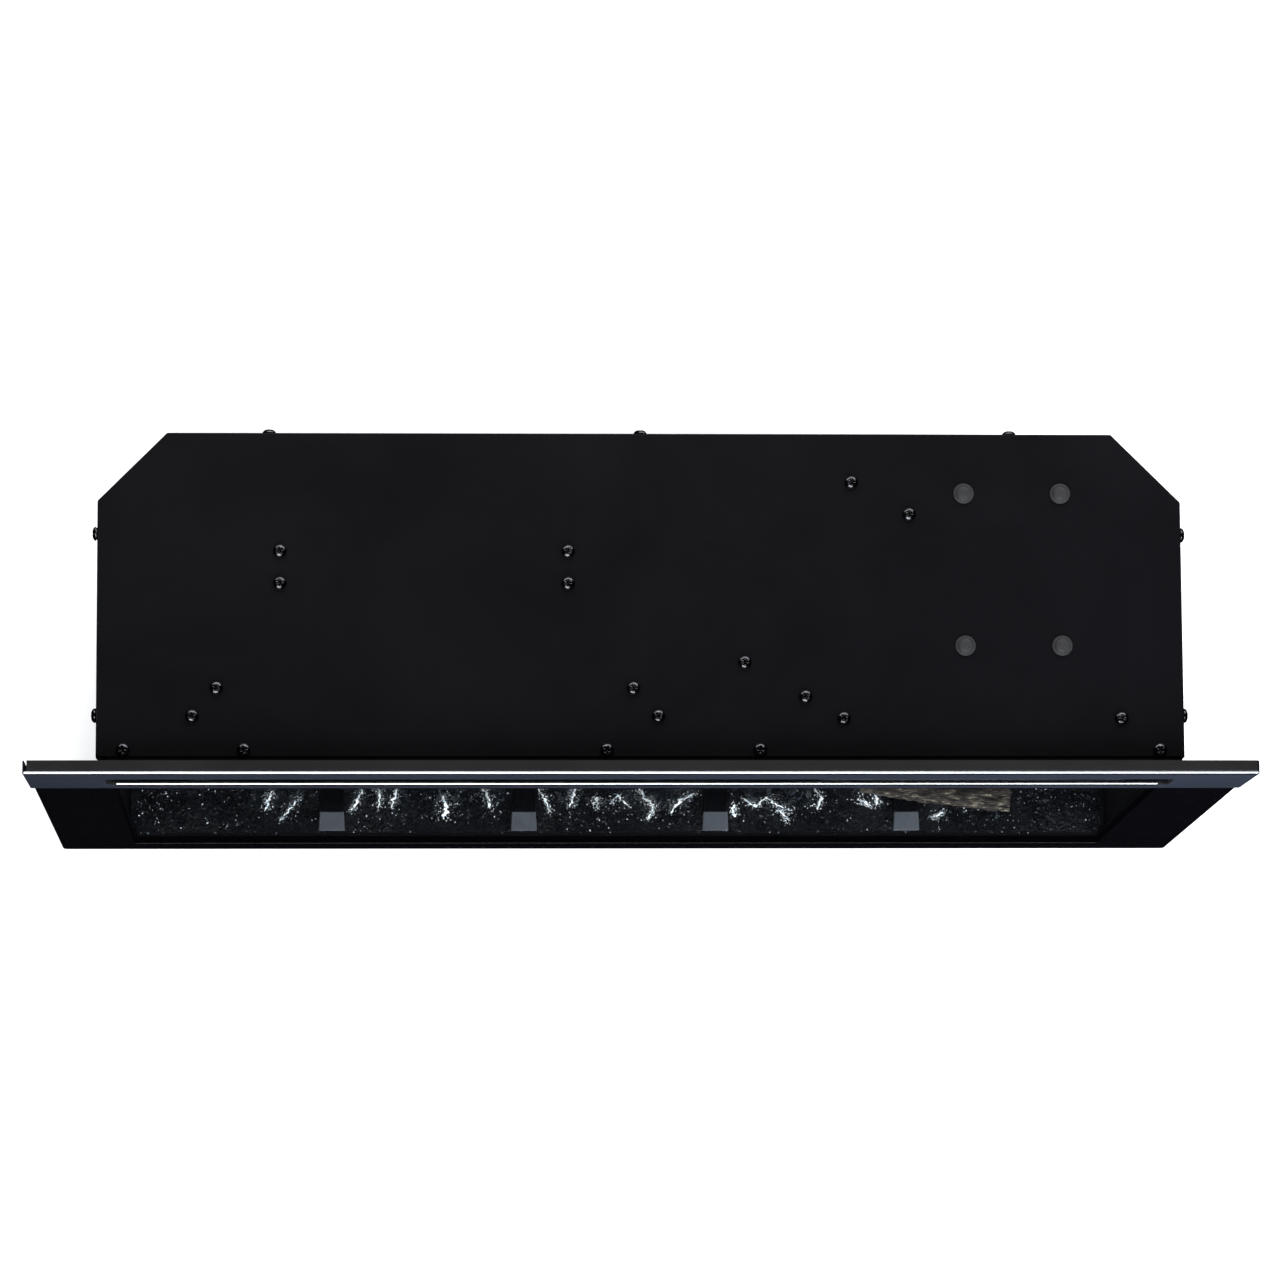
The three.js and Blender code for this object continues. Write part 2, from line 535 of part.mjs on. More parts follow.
const bezelY = SWITCH.y - GAP;
let switchBody = union([
  block(SWITCH.x - 16, SWITCH.x + 16, bezelY - 2, bezelY, 404, 428),
  block(SWITCH.x - 13.5, SWITCH.x + 13.5, bezelY - 1, bezelY + 14, 406.5, 425.5),
]);
switchBody = switchBody.subtract(
  block(SWITCH.x - 11, SWITCH.x + 11, bezelY - 3, bezelY + 9, 408.5, 423.5),
);
add("switch_housing", switchBody, darkPlastic);
const ROCKER_TILT = 8;
const rockerSide = [[-3.2, -6.4], [0.4, -6.6], [1.6, 0], [0.4, 6.6], [-3.2, 6.4], [-2.2, 0]];
const rocker = union([
  runAlongX(rockerSide, -10.4, 10.4),
  rod(1.5, 20.8, 12).rotate([0, 90, 0]),
]);
const rockerAt = [SWITCH.x, bezelY + 1.6, SWITCH.z];
add("power_rocker", rocker.rotate([-ROCKER_TILT, 0, 0]).translate(rockerAt), darkPlastic);

// Pan-head screws: domed head on the sheet, shank through lid and flange.
const panScrew = lathe([[0, -5.5], [SHANK_R, -5.5], [SHANK_R, 0.15], [HEAD_R, 0.15],
  [HEAD_R, 1.4], [3.6, 2.7], [0, 3.2]], 12);
const screwSets = [
  ["blower_screw", BLOWER_SCREWS], ["duct_screw", DUCT_SCREWS], ["supply_screw", SUPPLY_SCREWS],
  ["switch_screw", SWITCH_SCREWS], ["front_screw", FRONT_SCREWS],
];
for (const [name, points] of screwSets) {
  points.forEach(([x, d], i) => {
    add(name + "_" + (i + 1), panScrew.translate([x, FRONT + d, CASE_H]), screwSteel);
  });
}
const backScrew = panScrew.rotate([-90, 0, 0]);
BACK_SCREW_X.forEach((x, i) => {
  add("back_screw_" + (i + 1), backScrew.translate([x, BACK, sideZ]), screwSteel);
});

// Hex washer-head screws through the sides.
const hex = union([
  lathe([[0, -5.5], [SHANK_R, -5.5], [SHANK_R, 0.15], [5.2, 0.15], [5.2, 1.2], [0, 1.2]], 12),
  rod(4.2, 4.4, 6).translate([0, 0, 2.9]),
]);
for (const [side, word] of [[-1, "left"], [1, "right"]]) {
  SIDE_SCREW_Y.forEach((d, i) => {
    const turned = hex.rotate([0, 90 * side, 0]);
    const at = [side * CASE_W / 2, FRONT + d, sideZ];
    add("side_screw_" + word + "_" + (i + 1), turned.translate(at), screwSteel);
  });
}

export default root;
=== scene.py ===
"""Recessed linear electric fireplace: a black folded-steel casing behind a wide outlet fascia and
a black-bordered front glass, with a bed of crushed glass, clear ice and driftwood inside."""

import math
import random

import bmesh
import bpy
from mathutils import Matrix, Vector, noise


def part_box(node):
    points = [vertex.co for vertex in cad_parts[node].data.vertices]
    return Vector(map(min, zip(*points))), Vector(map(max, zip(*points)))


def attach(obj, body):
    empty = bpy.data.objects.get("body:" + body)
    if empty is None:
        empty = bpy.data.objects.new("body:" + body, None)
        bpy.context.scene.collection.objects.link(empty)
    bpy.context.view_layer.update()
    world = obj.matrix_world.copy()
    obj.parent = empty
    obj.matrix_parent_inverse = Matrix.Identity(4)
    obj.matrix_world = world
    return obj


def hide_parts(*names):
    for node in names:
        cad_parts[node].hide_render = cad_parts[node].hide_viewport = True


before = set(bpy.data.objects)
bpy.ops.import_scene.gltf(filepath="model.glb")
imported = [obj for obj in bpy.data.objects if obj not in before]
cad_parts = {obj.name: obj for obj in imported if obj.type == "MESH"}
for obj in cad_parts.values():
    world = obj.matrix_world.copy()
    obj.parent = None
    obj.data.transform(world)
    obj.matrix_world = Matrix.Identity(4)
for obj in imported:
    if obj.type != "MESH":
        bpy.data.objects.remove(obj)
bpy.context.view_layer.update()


# Camera and studio. The viewer stands in front of the fascia, a little to its left, and looks
# almost straight down. The floor is a pale translucent board, faintly lit from below and kept out
# of mirror reflections as black cards would keep it; the light comes from soft boxes in front,
# behind and at the right.
MM = 0.001
lid_low, lid_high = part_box("top_panel")
fascia_low, fascia_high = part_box("outlet_fascia")
glass_low, glass_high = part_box("front_glass")

EYE_LEFT = 186.5 * MM
EYE_AHEAD = 511.4 * MM
EYE_ABOVE = 4118 * MM
AIM_LEFT = 1.65 * MM
AIM_AHEAD = 31.5 * MM
AIM_BELOW = 13 * MM
ROLL = -0.00575
FLOOR_HALF = 9.0
FLOOR_GAP = 0.5 * MM

eye = Vector((-EYE_LEFT, fascia_low[1] - EYE_AHEAD, fascia_high[2] + EYE_ABOVE))
aim = Vector((-AIM_LEFT, -AIM_AHEAD, fascia_high[2] - AIM_BELOW))
back = (eye - aim).normalized()
across = Vector((0, 1, 0)).cross(back).normalized()
upward = back.cross(across)
side_axis = across * math.cos(ROLL) + upward * math.sin(ROLL)
up_axis = upward * math.cos(ROLL) - across * math.sin(ROLL)
camera_data = bpy.data.cameras.new("camera")
camera_data.sensor_width = 36
camera_data.lens = 166.4
camera_data.clip_end = 60
camera = bpy.data.objects.new("camera", camera_data)
bpy.context.collection.objects.link(camera)
turn = Matrix((side_axis, up_axis, back)).transposed()
camera.matrix_world = Matrix.Translation(eye) @ turn.to_4x4()
bpy.context.scene.camera = camera
bpy.context.scene.view_settings.view_transform = "Standard"


def node(tree, kind, settings=None, **inputs):
    """A shader node with its settings and its input values; spaces in input names are underscores."""
    made = tree.nodes.new(kind)
    for key, value in (settings or {}).items():
        setattr(made, key, value)
    for key, value in inputs.items():
        made.inputs[key.replace("_", " ")].default_value = value
    return made


def textured(tree, kind, settings=None, stretch=None, **inputs):
    """A texture node laid over the piece's own coordinates, stretched along its axes if asked."""
    made = node(tree, kind, settings, **inputs)
    place = tree.nodes.new("ShaderNodeTexCoord").outputs["Object"]
    if stretch:
        mapping = node(tree, "ShaderNodeMapping", Scale=stretch)
        tree.links.new(place, mapping.inputs["Vector"])
        place = mapping.outputs["Vector"]
    tree.links.new(place, made.inputs["Vector"])
    return made


def finish(name, colour, roughness, metallic=0.0, **sockets):
    """A material whose steady values sit on the Principled shader's own sockets."""
    made = bpy.data.materials.new(name)
    made.use_nodes = True
    made.diffuse_color = (*colour, 1)
    shader = made.node_tree.nodes["Principled BSDF"]
    shader.inputs["Base Color"].default_value = (*colour, 1)
    shader.inputs["Roughness"].default_value = roughness
    shader.inputs["Metallic"].default_value = metallic
    for key, value in sockets.items():
        shader.inputs[key.replace("_", " ")].default_value = value
    return made, made.node_tree, shader


def graded(tree, source, stops):
    """A colour ramp fed by source; stops are (position, colour)."""
    ramp = tree.nodes.new("ShaderNodeValToRGB")
    while len(ramp.color_ramp.elements) < len(stops):
        ramp.color_ramp.elements.new(0.5)
    for element, (position, colour) in zip(ramp.color_ramp.elements, stops):
        element.position = position
        element.color = (*colour, 1)
    tree.links.new(source, ramp.inputs["Fac"])
    return ramp.outputs["Color"]


def tinted(tree, shader, source, stops):
    tree.links.new(graded(tree, source, stops), shader.inputs["Base Color"])


floor_paint, tree, shader = finish("floor_board", (0.9, 0.9, 0.905), 0.75, Emission_Strength=0.25)
mottle = textured(tree, "ShaderNodeTexNoise", Scale=3.0, Detail=5.0)
tinted(tree, shader, mottle.outputs["Fac"],
       [(0.3, (0.89, 0.89, 0.895)), (0.7, (0.91, 0.91, 0.913))])
floor_mesh = bpy.data.meshes.new("floor")
floor_mesh.from_pydata(
    [(x * FLOOR_HALF, y * FLOOR_HALF, glass_low[2] - FLOOR_GAP)
     for x, y in ((-1, -1), (1, -1), (1, 1), (-1, 1))],
    [], [(0, 1, 2, 3)],
)
floor_mesh.materials.append(floor_paint)
floor = bpy.data.objects.new("floor", floor_mesh)
floor.visible_glossy = False
bpy.context.collection.objects.link(floor)

world = bpy.data.worlds.new("studio")
world.use_nodes = True
wall = world.node_tree.nodes["Background"]
wall.inputs["Color"].default_value = (0.98, 0.99, 1.0, 1)
wall.inputs["Strength"].default_value = 0.85
cards = node(world.node_tree, "ShaderNodeBackground", Color=(0.9, 0.95, 1.0, 1), Strength=0.005)
ray = world.node_tree.nodes.new("ShaderNodeLightPath")
either = world.node_tree.nodes.new("ShaderNodeMixShader")
world.node_tree.links.new(ray.outputs["Is Glossy Ray"], either.inputs[0])
world.node_tree.links.new(wall.outputs["Background"], either.inputs[1])
world.node_tree.links.new(cards.outputs["Background"], either.inputs[2])
world.node_tree.links.new(either.outputs["Shader"],
                          world.node_tree.nodes["World Output"].inputs["Surface"])
bpy.context.scene.world = world


def studio_light(kind, name, place_at, power, tint, mirrored=True, **settings):
    """A light aimed at the middle of the casing, hidden from the camera and, if wished, mirrors."""
    data = bpy.data.lights.new(name, kind)
    data.energy = power
    data.color = tint
    for key, value in settings.items():
        setattr(data, key, value)
    light = bpy.data.objects.new(name, data)
    light.location = place_at
    aim_at = Vector((0, 0, 0.3)) - Vector(place_at)
    light.rotation_euler = aim_at.to_track_quat("-Z", "Y").to_euler()
    light.visible_camera = False
    light.visible_glossy = mirrored
    bpy.context.collection.objects.link(light)


studio_light("SUN", "front_wash", (-0.8, -4.0, 3.4), 1.9, (0.97, 0.99, 1.0), angle=math.radians(48))
studio_light("SUN", "back_wash", (1.0, 4.0, 2.8), 0.5, (1.0, 1.0, 1.0), angle=math.radians(60))
studio_light("AREA", "back_box", (0.0, 0.95, 1.05), 8, (1.0, 1.0, 1.0), shape="RECTANGLE",
             size=2.4, size_y=0.5)
studio_light("AREA", "right_box", (1.3, -1.1, 0.8), 58, (0.92, 0.96, 1.0), False,
             shape="RECTANGLE", size=0.8, size_y=1.6)


# Powder-coated sheet. Casing, trim, liner and tray are 1.2 mm steel, folded, then coated in the
# same satin near-black: fine orange peel, faint handling smudges and a few dust nibs.
def effect(name, inputs, outputs):
    """An empty shader node group with float inputs and outputs, and its two end nodes."""
    group = bpy.data.node_groups.new(name, "ShaderNodeTree")
    for key, value in inputs.items():
        socket = group.interface.new_socket(key, in_out="INPUT", socket_type="NodeSocketFloat")
        socket.default_value = value
    for key in outputs:
        group.interface.new_socket(key, in_out="OUTPUT", socket_type="NodeSocketFloat")
    return group, group.nodes.new("NodeGroupInput"), group.nodes.new("NodeGroupOutput")


def placed(tree, group, **inputs):
    return node(tree, "ShaderNodeGroup", {"node_tree": group}, **inputs)


def ranged(tree, source, low, high, from_low=0.0, from_high=1.0):
    """source scaled into low..high."""
    scaled = node(tree, "ShaderNodeMapRange", From_Min=from_low, From_Max=from_high,
                  To_Min=low, To_Max=high)
    tree.links.new(source, scaled.inputs["Value"])
    return scaled.outputs["Result"]


def bumped(tree, shader, height, distance, strength=1.0):
    bump = node(tree, "ShaderNodeBump", Strength=strength, Distance=distance)
    tree.links.new(height, bump.inputs["Height"])
    tree.links.new(bump.outputs["Normal"], shader.inputs["Normal"])


def glossed(tree, shader, source, low, high, from_low=0.3, from_high=0.7):
    tree.links.new(ranged(tree, source, low, high, from_low, from_high), shader.inputs["Roughness"])


def weighted(tree, source, weight, base):
    """source times weight, added to base."""
    made = node(tree, "ShaderNodeMath", {"operation": "MULTIPLY_ADD"})
    made.inputs[1].default_value = weight
    tree.links.new(source, made.inputs[0])
    tree.links.new(base, made.inputs[2])
    return made.outputs["Value"]


coat_grain, given, out = effect("coat_grain", {"Grain": 900.0, "Smudge": 9.0},
                                ["Tone", "Gloss", "Height"])
peel = textured(coat_grain, "ShaderNodeTexNoise", Detail=3.0, Roughness=0.6)
smudge = textured(coat_grain, "ShaderNodeTexNoise", Detail=6.0, Roughness=0.62, Distortion=0.6)
nibs = textured(coat_grain, "ShaderNodeTexVoronoi", Scale=170.0)
coat_grain.links.new(given.outputs["Grain"], peel.inputs["Scale"])
coat_grain.links.new(given.outputs["Smudge"], smudge.inputs["Scale"])
nib_mask = ranged(coat_grain, nibs.outputs["Distance"], 1.0, 0.0, 0.03, 0.075)
toned = weighted(coat_grain, nib_mask, 0.35, smudge.outputs["Fac"])
raised = weighted(coat_grain, nib_mask, 0.8, peel.outputs["Fac"])
coat_grain.links.new(toned, out.inputs["Tone"])
coat_grain.links.new(smudge.outputs["Fac"], out.inputs["Gloss"])
coat_grain.links.new(raised, out.inputs["Height"])
PEEL_DEPTH = 0.03 * MM


def coated(name, dark, light, rough_low, rough_high, **sockets):
    """Powder coat whose colour and gloss wander with smudges and nibs."""
    made, tree, shader = finish(name, dark, rough_low, **sockets)
    grain = placed(tree, coat_grain)
    tinted(tree, shader, grain.outputs["Tone"], [(0.35, dark), (0.95, light)])
    glossed(tree, shader, grain.outputs["Gloss"], rough_low, rough_high)
    bumped(tree, shader, grain.outputs["Height"], PEEL_DEPTH, 0.7)
    return made


def recoated(name, coat):
    """Gives a part of the frame its finish and leaves its shape alone."""
    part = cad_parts[name]
    part.data.materials.clear()
    part.data.materials.append(coat)
    return part


casing_coat = coated("casing_coat", (0.0017, 0.0017, 0.0031), (0.0031, 0.0031, 0.0050), 0.42, 0.47,
                     Specular_IOR_Level=0.25)
liner_coat = coated("liner_coat", (0.003, 0.003, 0.0036), (0.006, 0.006, 0.007), 0.5, 0.6)

for name, coat in (("trim_frame", casing_coat), ("lid_angle", casing_coat),
                   ("firebox_liner", liner_coat), ("media_tray", liner_coat)):
    recoated(name, coat)


# Casing. The lid and the base are pans whose skirts lap over one long sheet that is folded round
# the sides, the 45 degree rear corners and the back.
SHEET = 1.2 * MM
CORNER = 49 * MM
FOLD = 0.8 * MM
CUT_EDGE = 0.18 * MM
LID_LIP = 7 * MM
LIP_TAPER = 2 * MM
base_low, base_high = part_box("base_panel")
shell_low, shell_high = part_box("casing_shell")


def mesh_piece(name, bm, coat, body, slot, *stands_for):
    """Finishes a bmesh as one piece that rides on a body and stands for its CAD nodes."""
    mesh = bpy.data.meshes.new(name)
    bm.to_mesh(mesh)
    bm.free()
    for each in coat if isinstance(coat, (list, tuple)) else [coat]:
        mesh.materials.append(each)
    piece = bpy.data.objects.new(name, mesh)
    bpy.context.collection.objects.link(piece)
    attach(piece, body)
    if stands_for:
        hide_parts(*stands_for)
    return piece


def folded(faces, outward):
    """A bmesh of flat panels that share their fold lines, wound so that outward faces out."""
    bm = bmesh.new()
    for corners in faces:
        bm.faces.new([bm.verts.new(c) for c in corners])
    bmesh.ops.remove_doubles(bm, verts=bm.verts, dist=1e-6)
    bmesh.ops.recalc_face_normals(bm, faces=bm.faces)
    bm.faces.ensure_lookup_table()
    if bm.faces[0].normal.dot(Vector(outward)) < 0:
        bmesh.ops.reverse_faces(bm, faces=bm.faces)
    return bm


def eased(piece, name, width, segments, angle):
    """Rounds the edges of a piece that turn by more than angle, in degrees."""
    made = piece.modifiers.new(name, "BEVEL")
    made.width = width
    made.segments = segments
    made.limit_method = "ANGLE"
    made.angle_limit = math.radians(angle)


def gauged(piece, thickness):
    """Gives a sheet its thickness, behind the face that is modelled."""
    gauge = piece.modifiers.new("gauge", "SOLIDIFY")
    gauge.thickness = thickness
    gauge.offset = -1


def shaded(piece):
    """Shades a folded sheet smoothly over its folds and flat between them."""
    for face in piece.data.polygons:
        face.use_smooth = True
    piece.modifiers.new("shade", "WEIGHTED_NORMAL").keep_sharp = True


def bent(piece):
    """Makes flat panels into bent sheet: round folds, a thickness and broken cut edges."""
    eased(piece, "folds", FOLD, 4, 25)
    gauged(piece, SHEET)
    eased(piece, "cut_edges", CUT_EDGE, 2, 50)
    shaded(piece)


def casing_plan(high, front):
    """Corners of the casing seen from above, from the front left round the back."""
    x = high[0]
    y = high[1]
    return [(-x, front), (-x, y - CORNER), (-x + CORNER, y),
            (x - CORNER, y), (x, y - CORNER), (x, front)]


def wall_panels(plan, z0, z1):
    """Upright panels along a plan."""
    return [
        [(ax, ay, z0), (bx, by, z0), (bx, by, z1), (ax, ay, z1)]
        for (ax, ay), (bx, by) in zip(plan, plan[1:])
    ]


lid_plan = casing_plan(lid_high, lid_low[1])
lid_panels = [[(x, y, lid_high[2]) for x, y in lid_plan]]
lid_panels += wall_panels(lid_plan, lid_low[2], lid_high[2])
right_x, front_y = lid_plan[-1]
lip_x = right_x - LIP_TAPER
lip_z = lid_high[2] - LID_LIP
lid_panels.append([(-lip_x, front_y, lip_z), (lip_x, front_y, lip_z),
                   (right_x, front_y, lid_high[2]), (-right_x, front_y, lid_high[2])])
bent(mesh_piece("lid", folded(lid_panels, (0, 0, 1)), casing_coat, "casing", "casing_paint",
                "top_panel"))

base_plan = casing_plan(base_high, base_low[1])
base_panels = [[(x, y, base_low[2]) for x, y in base_plan]]
base_panels += wall_panels(base_plan, base_low[2], base_high[2])
bent(mesh_piece("base", folded(base_panels, (0, 0, -1)), casing_coat, "casing", "casing_paint",
                "base_panel"))

shell_panels = wall_panels(casing_plan(shell_high, shell_low[1]), shell_low[2], shell_high[2])
bent(mesh_piece("shell", folded(shell_panels, (-1, 0, 0)), casing_coat, "casing", "casing_paint",
                "casing_shell"))


# Outlet fascia. One sheet with the long heater slot cut through its face; the top edge and the
# slot's lower edge are rolled and left bright, the face leans out a little at the top, and the
# top corners are open folds. The top flange, the slot's inner walls and the ends of its rim wear
# a darker, warmer copy of the fascia's coat: painted shade.
TOP_ROLL = 2.0 * MM
SIDE_ROLL = 1.2 * MM
RIM_ROLL = 2.3 * MM
FASCIA_SHEET = 1.1 * MM
SLOT_HALF = 378.5 * MM
SLOT_HEIGHT = 40 * MM
SLOT_DROP = 38 * MM
SLOT_CORNER = 6 * MM
SLOT_RETURN = 4.6 * MM
LIP_BAND = 1 * MM
FACE_BAND = 0.3 * MM
FLANGE_LEFT = 3 * MM
FLANGE_RIGHT = 1.5 * MM
LEAN_OUT = 1.0 * MM
LEAN_BACK = 1.1 * MM

fascia_coat, tree, shader = finish("fascia_coat", (0.029, 0.036, 0.054), 0.40)
grain = placed(tree, coat_grain, Grain=1300.0, Smudge=6.0)
brush = textured(tree, "ShaderNodeTexNoise", stretch=(14.0, 400.0, 900.0), Scale=1.0, Detail=4.0,
                 Roughness=0.7)
tinted(tree, shader, grain.outputs["Tone"],
       [(0.3, (0.019, 0.0235, 0.037)), (0.9, (0.025, 0.0305, 0.047))])
glossed(tree, shader, brush.outputs["Fac"], 0.27, 0.42)
bumped(tree, shader, grain.outputs["Height"], 0.02 * MM, 0.6)

# A darker, warmer copy of the fascia's coat: painted shade for the top flange and the slot's inner
# walls.
shaded_fascia_coat = coated("shaded_fascia_coat", (0.0075, 0.0074, 0.0076), (0.0132, 0.0128, 0.013), 0.55, 0.7,
                     Specular_IOR_Level=0.3)

bright_edge, tree, shader = finish("bright_edge", (0.80, 0.82, 0.86), 0.22, 1.0)
fine = textured(tree, "ShaderNodeTexNoise", stretch=(30.0, 1500.0, 1500.0), Scale=1.0, Detail=3.0)
glossed(tree, shader, fine.outputs["Fac"], 0.16, 0.32)
tinted(tree, shader, fine.outputs["Fac"], [(0.3, (0.74, 0.77, 0.82)), (0.7, (0.88, 0.90, 0.94))])
COATED, BRIGHT, SHADE_PAINTED = range(3)

face_y = fascia_low[1]
flange_y = fascia_high[1]
half = fascia_high[0]
plate_top = fascia_high[2] - TOP_ROLL
plate_low = fascia_low[2]
plate_half = half - SIDE_ROLL
slot_high = fascia_high[2] - SLOT_DROP
slot_low = slot_high - SLOT_HEIGHT


def quarter_round(steps):
    """Sine and cosine at even steps round a quarter of a circle."""
    angles = [math.radians(90 * i / steps) for i in range(steps + 1)]
    return [(math.sin(a), math.cos(a)) for a in angles]


def rounded_loop(bm, x0, x1, z0, z1, radius, y, steps):
    """Vertices round an upright rectangle with round corners, from its right side over the top."""
    loop = []
    for cx, cz, start in ((x1 - radius, z1 - radius, 0), (x0 + radius, z1 - radius, 90),
                          (x0 + radius, z0 + radius, 180), (x1 - radius, z0 + radius, 270)):
        for i in range(steps + 1):
            a = math.radians(start + 90 * i / steps)
            loop.append(bm.verts.new((cx + radius * math.cos(a), y, cz + radius * math.sin(a))))
    return loop


def slot_loop(bm, grow, depth):
    """The slot's outline, grown all round and set back from the fascia's face."""
    return rounded_loop(bm, -SLOT_HALF - grow, SLOT_HALF + grow, slot_low - grow,
                        slot_high + grow, SLOT_CORNER + grow, face_y + depth, 6)


def strip(bm, rows, close=False, material=0):
    """Quads between successive rows of points."""
    made = []
    for low, high in zip(rows, rows[1:]):
        count = len(low) if close else len(low) - 1
        for i in range(count):
            j = (i + 1) % len(low)
            quad = bm.faces.new([low[i], low[j], high[j], high[i]])
            quad.material_index = material
            made.append(quad)
    return made


bm = bmesh.new()
plate = [(-plate_half, plate_low), (plate_half, plate_low), (plate_half, plate_top),
         (-plate_half, plate_top)]
corners = [bm.verts.new((x, face_y, z)) for x, z in plate]
rows = [slot_loop(bm, RIM_ROLL * (1 - sine), RIM_ROLL * (1 - cosine))
        for sine, cosine in quarter_round(5)]
rows.append(slot_loop(bm, 0, SLOT_RETURN))
outline = [bm.edges.new((loop[i], loop[(i + 1) % len(loop)])) for loop in (corners, rows[0])
           for i in range(len(loop))]
bmesh.ops.triangle_fill(bm, edges=outline, use_beauty=True)
# Rim faces set back into the slot, apart from the middle of the lower lip, get the darker copy as
# painted shade.
for face in strip(bm, rows, close=True):
    middle = face.calc_center_median()
    if middle.z < slot_low + LIP_BAND and abs(middle.x) < SLOT_HALF - SLOT_CORNER:
        face.material_index = BRIGHT
    elif middle.y > face_y + FACE_BAND:
        face.material_index = SHADE_PAINTED
top_rows = [
    [bm.verts.new((x, face_y + TOP_ROLL * (1 - cosine), plate_top + TOP_ROLL * sine))
     for x in (-plate_half, plate_half)]
    for sine, cosine in quarter_round(6)
]
strip(bm, top_rows, material=BRIGHT)
# The top flange gets the darker copy as painted shade.
flange_rows = [
    [bm.verts.new((x, y, fascia_high[2])) for x in (-half + FLANGE_LEFT, half - FLANGE_RIGHT)]
    for y in (face_y + TOP_ROLL, flange_y)
]
strip(bm, flange_rows, material=SHADE_PAINTED)
for side in (-1, 1):
    turned_back = [(side * (plate_half + SIDE_ROLL * sine), face_y + SIDE_ROLL * (1 - cosine))
                   for sine, cosine in quarter_round(4)]
    side_rows = [[bm.verts.new((x, y, z)) for z in (plate_low, plate_top)]
                 for x, y in turned_back + [(side * half, flange_y)]]
    strip(bm, side_rows, material=COATED)
for v in bm.verts:
    up = (v.co.z - plate_low) / (plate_top - plate_low)
    ahead = (flange_y - v.co.y) / (flange_y - face_y)
    v.co.y += ahead * (LEAN_BACK * (1 - up) - LEAN_OUT * up)
bmesh.ops.remove_doubles(bm, verts=bm.verts, dist=1e-6)
bmesh.ops.recalc_face_normals(bm, faces=bm.faces)
fascia = mesh_piece("fascia", bm, [fascia_coat, bright_edge, shaded_fascia_coat], "casing",
                    "fascia_paint", "outlet_fascia")
gauged(fascia, FASCIA_SHEET)
shaded(fascia)


# Front glass. A 4 mm toughened pane with ground edges, tinted dark, and a black fired border that
# hides the trim frame; it hangs on clips and lifts off.
BORDER_SIDE = 57 * MM
BORDER_LOW = 36 * MM
BORDER_TOP = 10 * MM
BORDER_MARGIN = 0.5 * MM
BORDER_DEPTH = 0.45 * MM
BORDER_INK = 0.06 * MM
PANE_CORNER = 3 * MM
BORDER_CORNER = 2 * MM
BACK_GAP = 0.2 * MM
GROUND_EDGE = 0.7 * MM

pane_tint, tree, shader = finish("pane_tint", (0.0015, 0.0015, 0.003), 0.04, Alpha=0.25, IOR=1.45)
film = textured(tree, "ShaderNodeTexNoise", Scale=3.0, Detail=2.0)
glossed(tree, shader, film.outputs["Fac"], 0.05, 0.075, 0.2, 0.8)

fired_border, tree, shader = finish("fired_border", (0.0010, 0.0010, 0.0020), 0.15)
film = textured(tree, "ShaderNodeTexNoise", Scale=5.0, Detail=6.0)
tinted(tree, shader, film.outputs["Fac"],
       [(0.3, (0.0008, 0.0008, 0.0018)), (0.75, (0.0020, 0.0018, 0.0034))])
glossed(tree, shader, film.outputs["Fac"], 0.08, 0.2, 0.35, 0.75)

pane_back = glass_high[1] - BACK_GAP
bm = bmesh.new()
loops = []
for inset, y in ((GROUND_EDGE, glass_low[1]), (0, glass_low[1] + GROUND_EDGE),
                 (0, glass_high[1] - GROUND_EDGE - BACK_GAP), (GROUND_EDGE, pane_back)):
    loops.append(rounded_loop(bm, glass_low[0] + inset, glass_high[0] - inset,
                              glass_low[2] + inset, glass_high[2] - inset, PANE_CORNER, y, 5))
bm.faces.new(loops[0])
bm.faces.new(list(reversed(loops[-1])))
strip(bm, loops, close=True, material=1)
bmesh.ops.recalc_face_normals(bm, faces=bm.faces)
mesh_piece("pane", bm, [pane_tint, fired_border], "front_glass", "front_glass", "front_glass")

bm = bmesh.new()
border_y = glass_low[1] + BORDER_DEPTH
outer = rounded_loop(bm, glass_low[0] + BORDER_MARGIN, glass_high[0] - BORDER_MARGIN,
                     glass_low[2] + BORDER_MARGIN, glass_high[2] - BORDER_MARGIN, PANE_CORNER,
                     border_y, 5)
inner = rounded_loop(bm, glass_low[0] + BORDER_SIDE, glass_high[0] - BORDER_SIDE,
                     glass_low[2] + BORDER_LOW, glass_high[2] - BORDER_TOP, BORDER_CORNER,
                     border_y, 5)
strip(bm, [outer, inner], close=True)
bmesh.ops.recalc_face_normals(bm, faces=bm.faces)
border = mesh_piece("border", bm, fired_border, "front_glass", "front_glass")
ink = border.modifiers.new("ink", "SOLIDIFY")
ink.thickness = BORDER_INK


# Screws. Black-oxide pan heads with a cross recess hold the lid to the casing and, through the
# lid, the blower, the duct, the power supply and the switch.
HEAD_HEIGHT = 3.7 * MM
HEAD_SIDE = 1.4 * MM
RECESS_ARM = 2.7 * MM
RECESS_WIDTH = 0.62 * MM
RECESS_DEPTH = 1.5 * MM
RECESS_WALL = 0.25 * MM
RECESS_RAMP = 0.7 * MM
HEAD_GAP = 0.05 * MM

screw_black, tree, shader = finish("screw_black", (0.2, 0.2, 0.21), 0.2, 1.0)
oxide = textured(tree, "ShaderNodeTexNoise", Scale=800.0, Detail=4.0)
tinted(tree, shader, oxide.outputs["Fac"], [(0.35, (0.09, 0.09, 0.10)), (0.75, (0.19, 0.19, 0.21))])
glossed(tree, shader, oxide.outputs["Fac"], 0.12, 0.22)
bumped(tree, shader, oxide.outputs["Fac"], 0.01 * MM, 0.4)


def circle(bm, radius, z, sectors):
    """Vertices round a level circle on the z axis."""
    angles = [2 * math.pi * j / sectors for j in range(sectors)]
    return [bm.verts.new((radius * math.cos(a), radius * math.sin(a), z)) for a in angles]


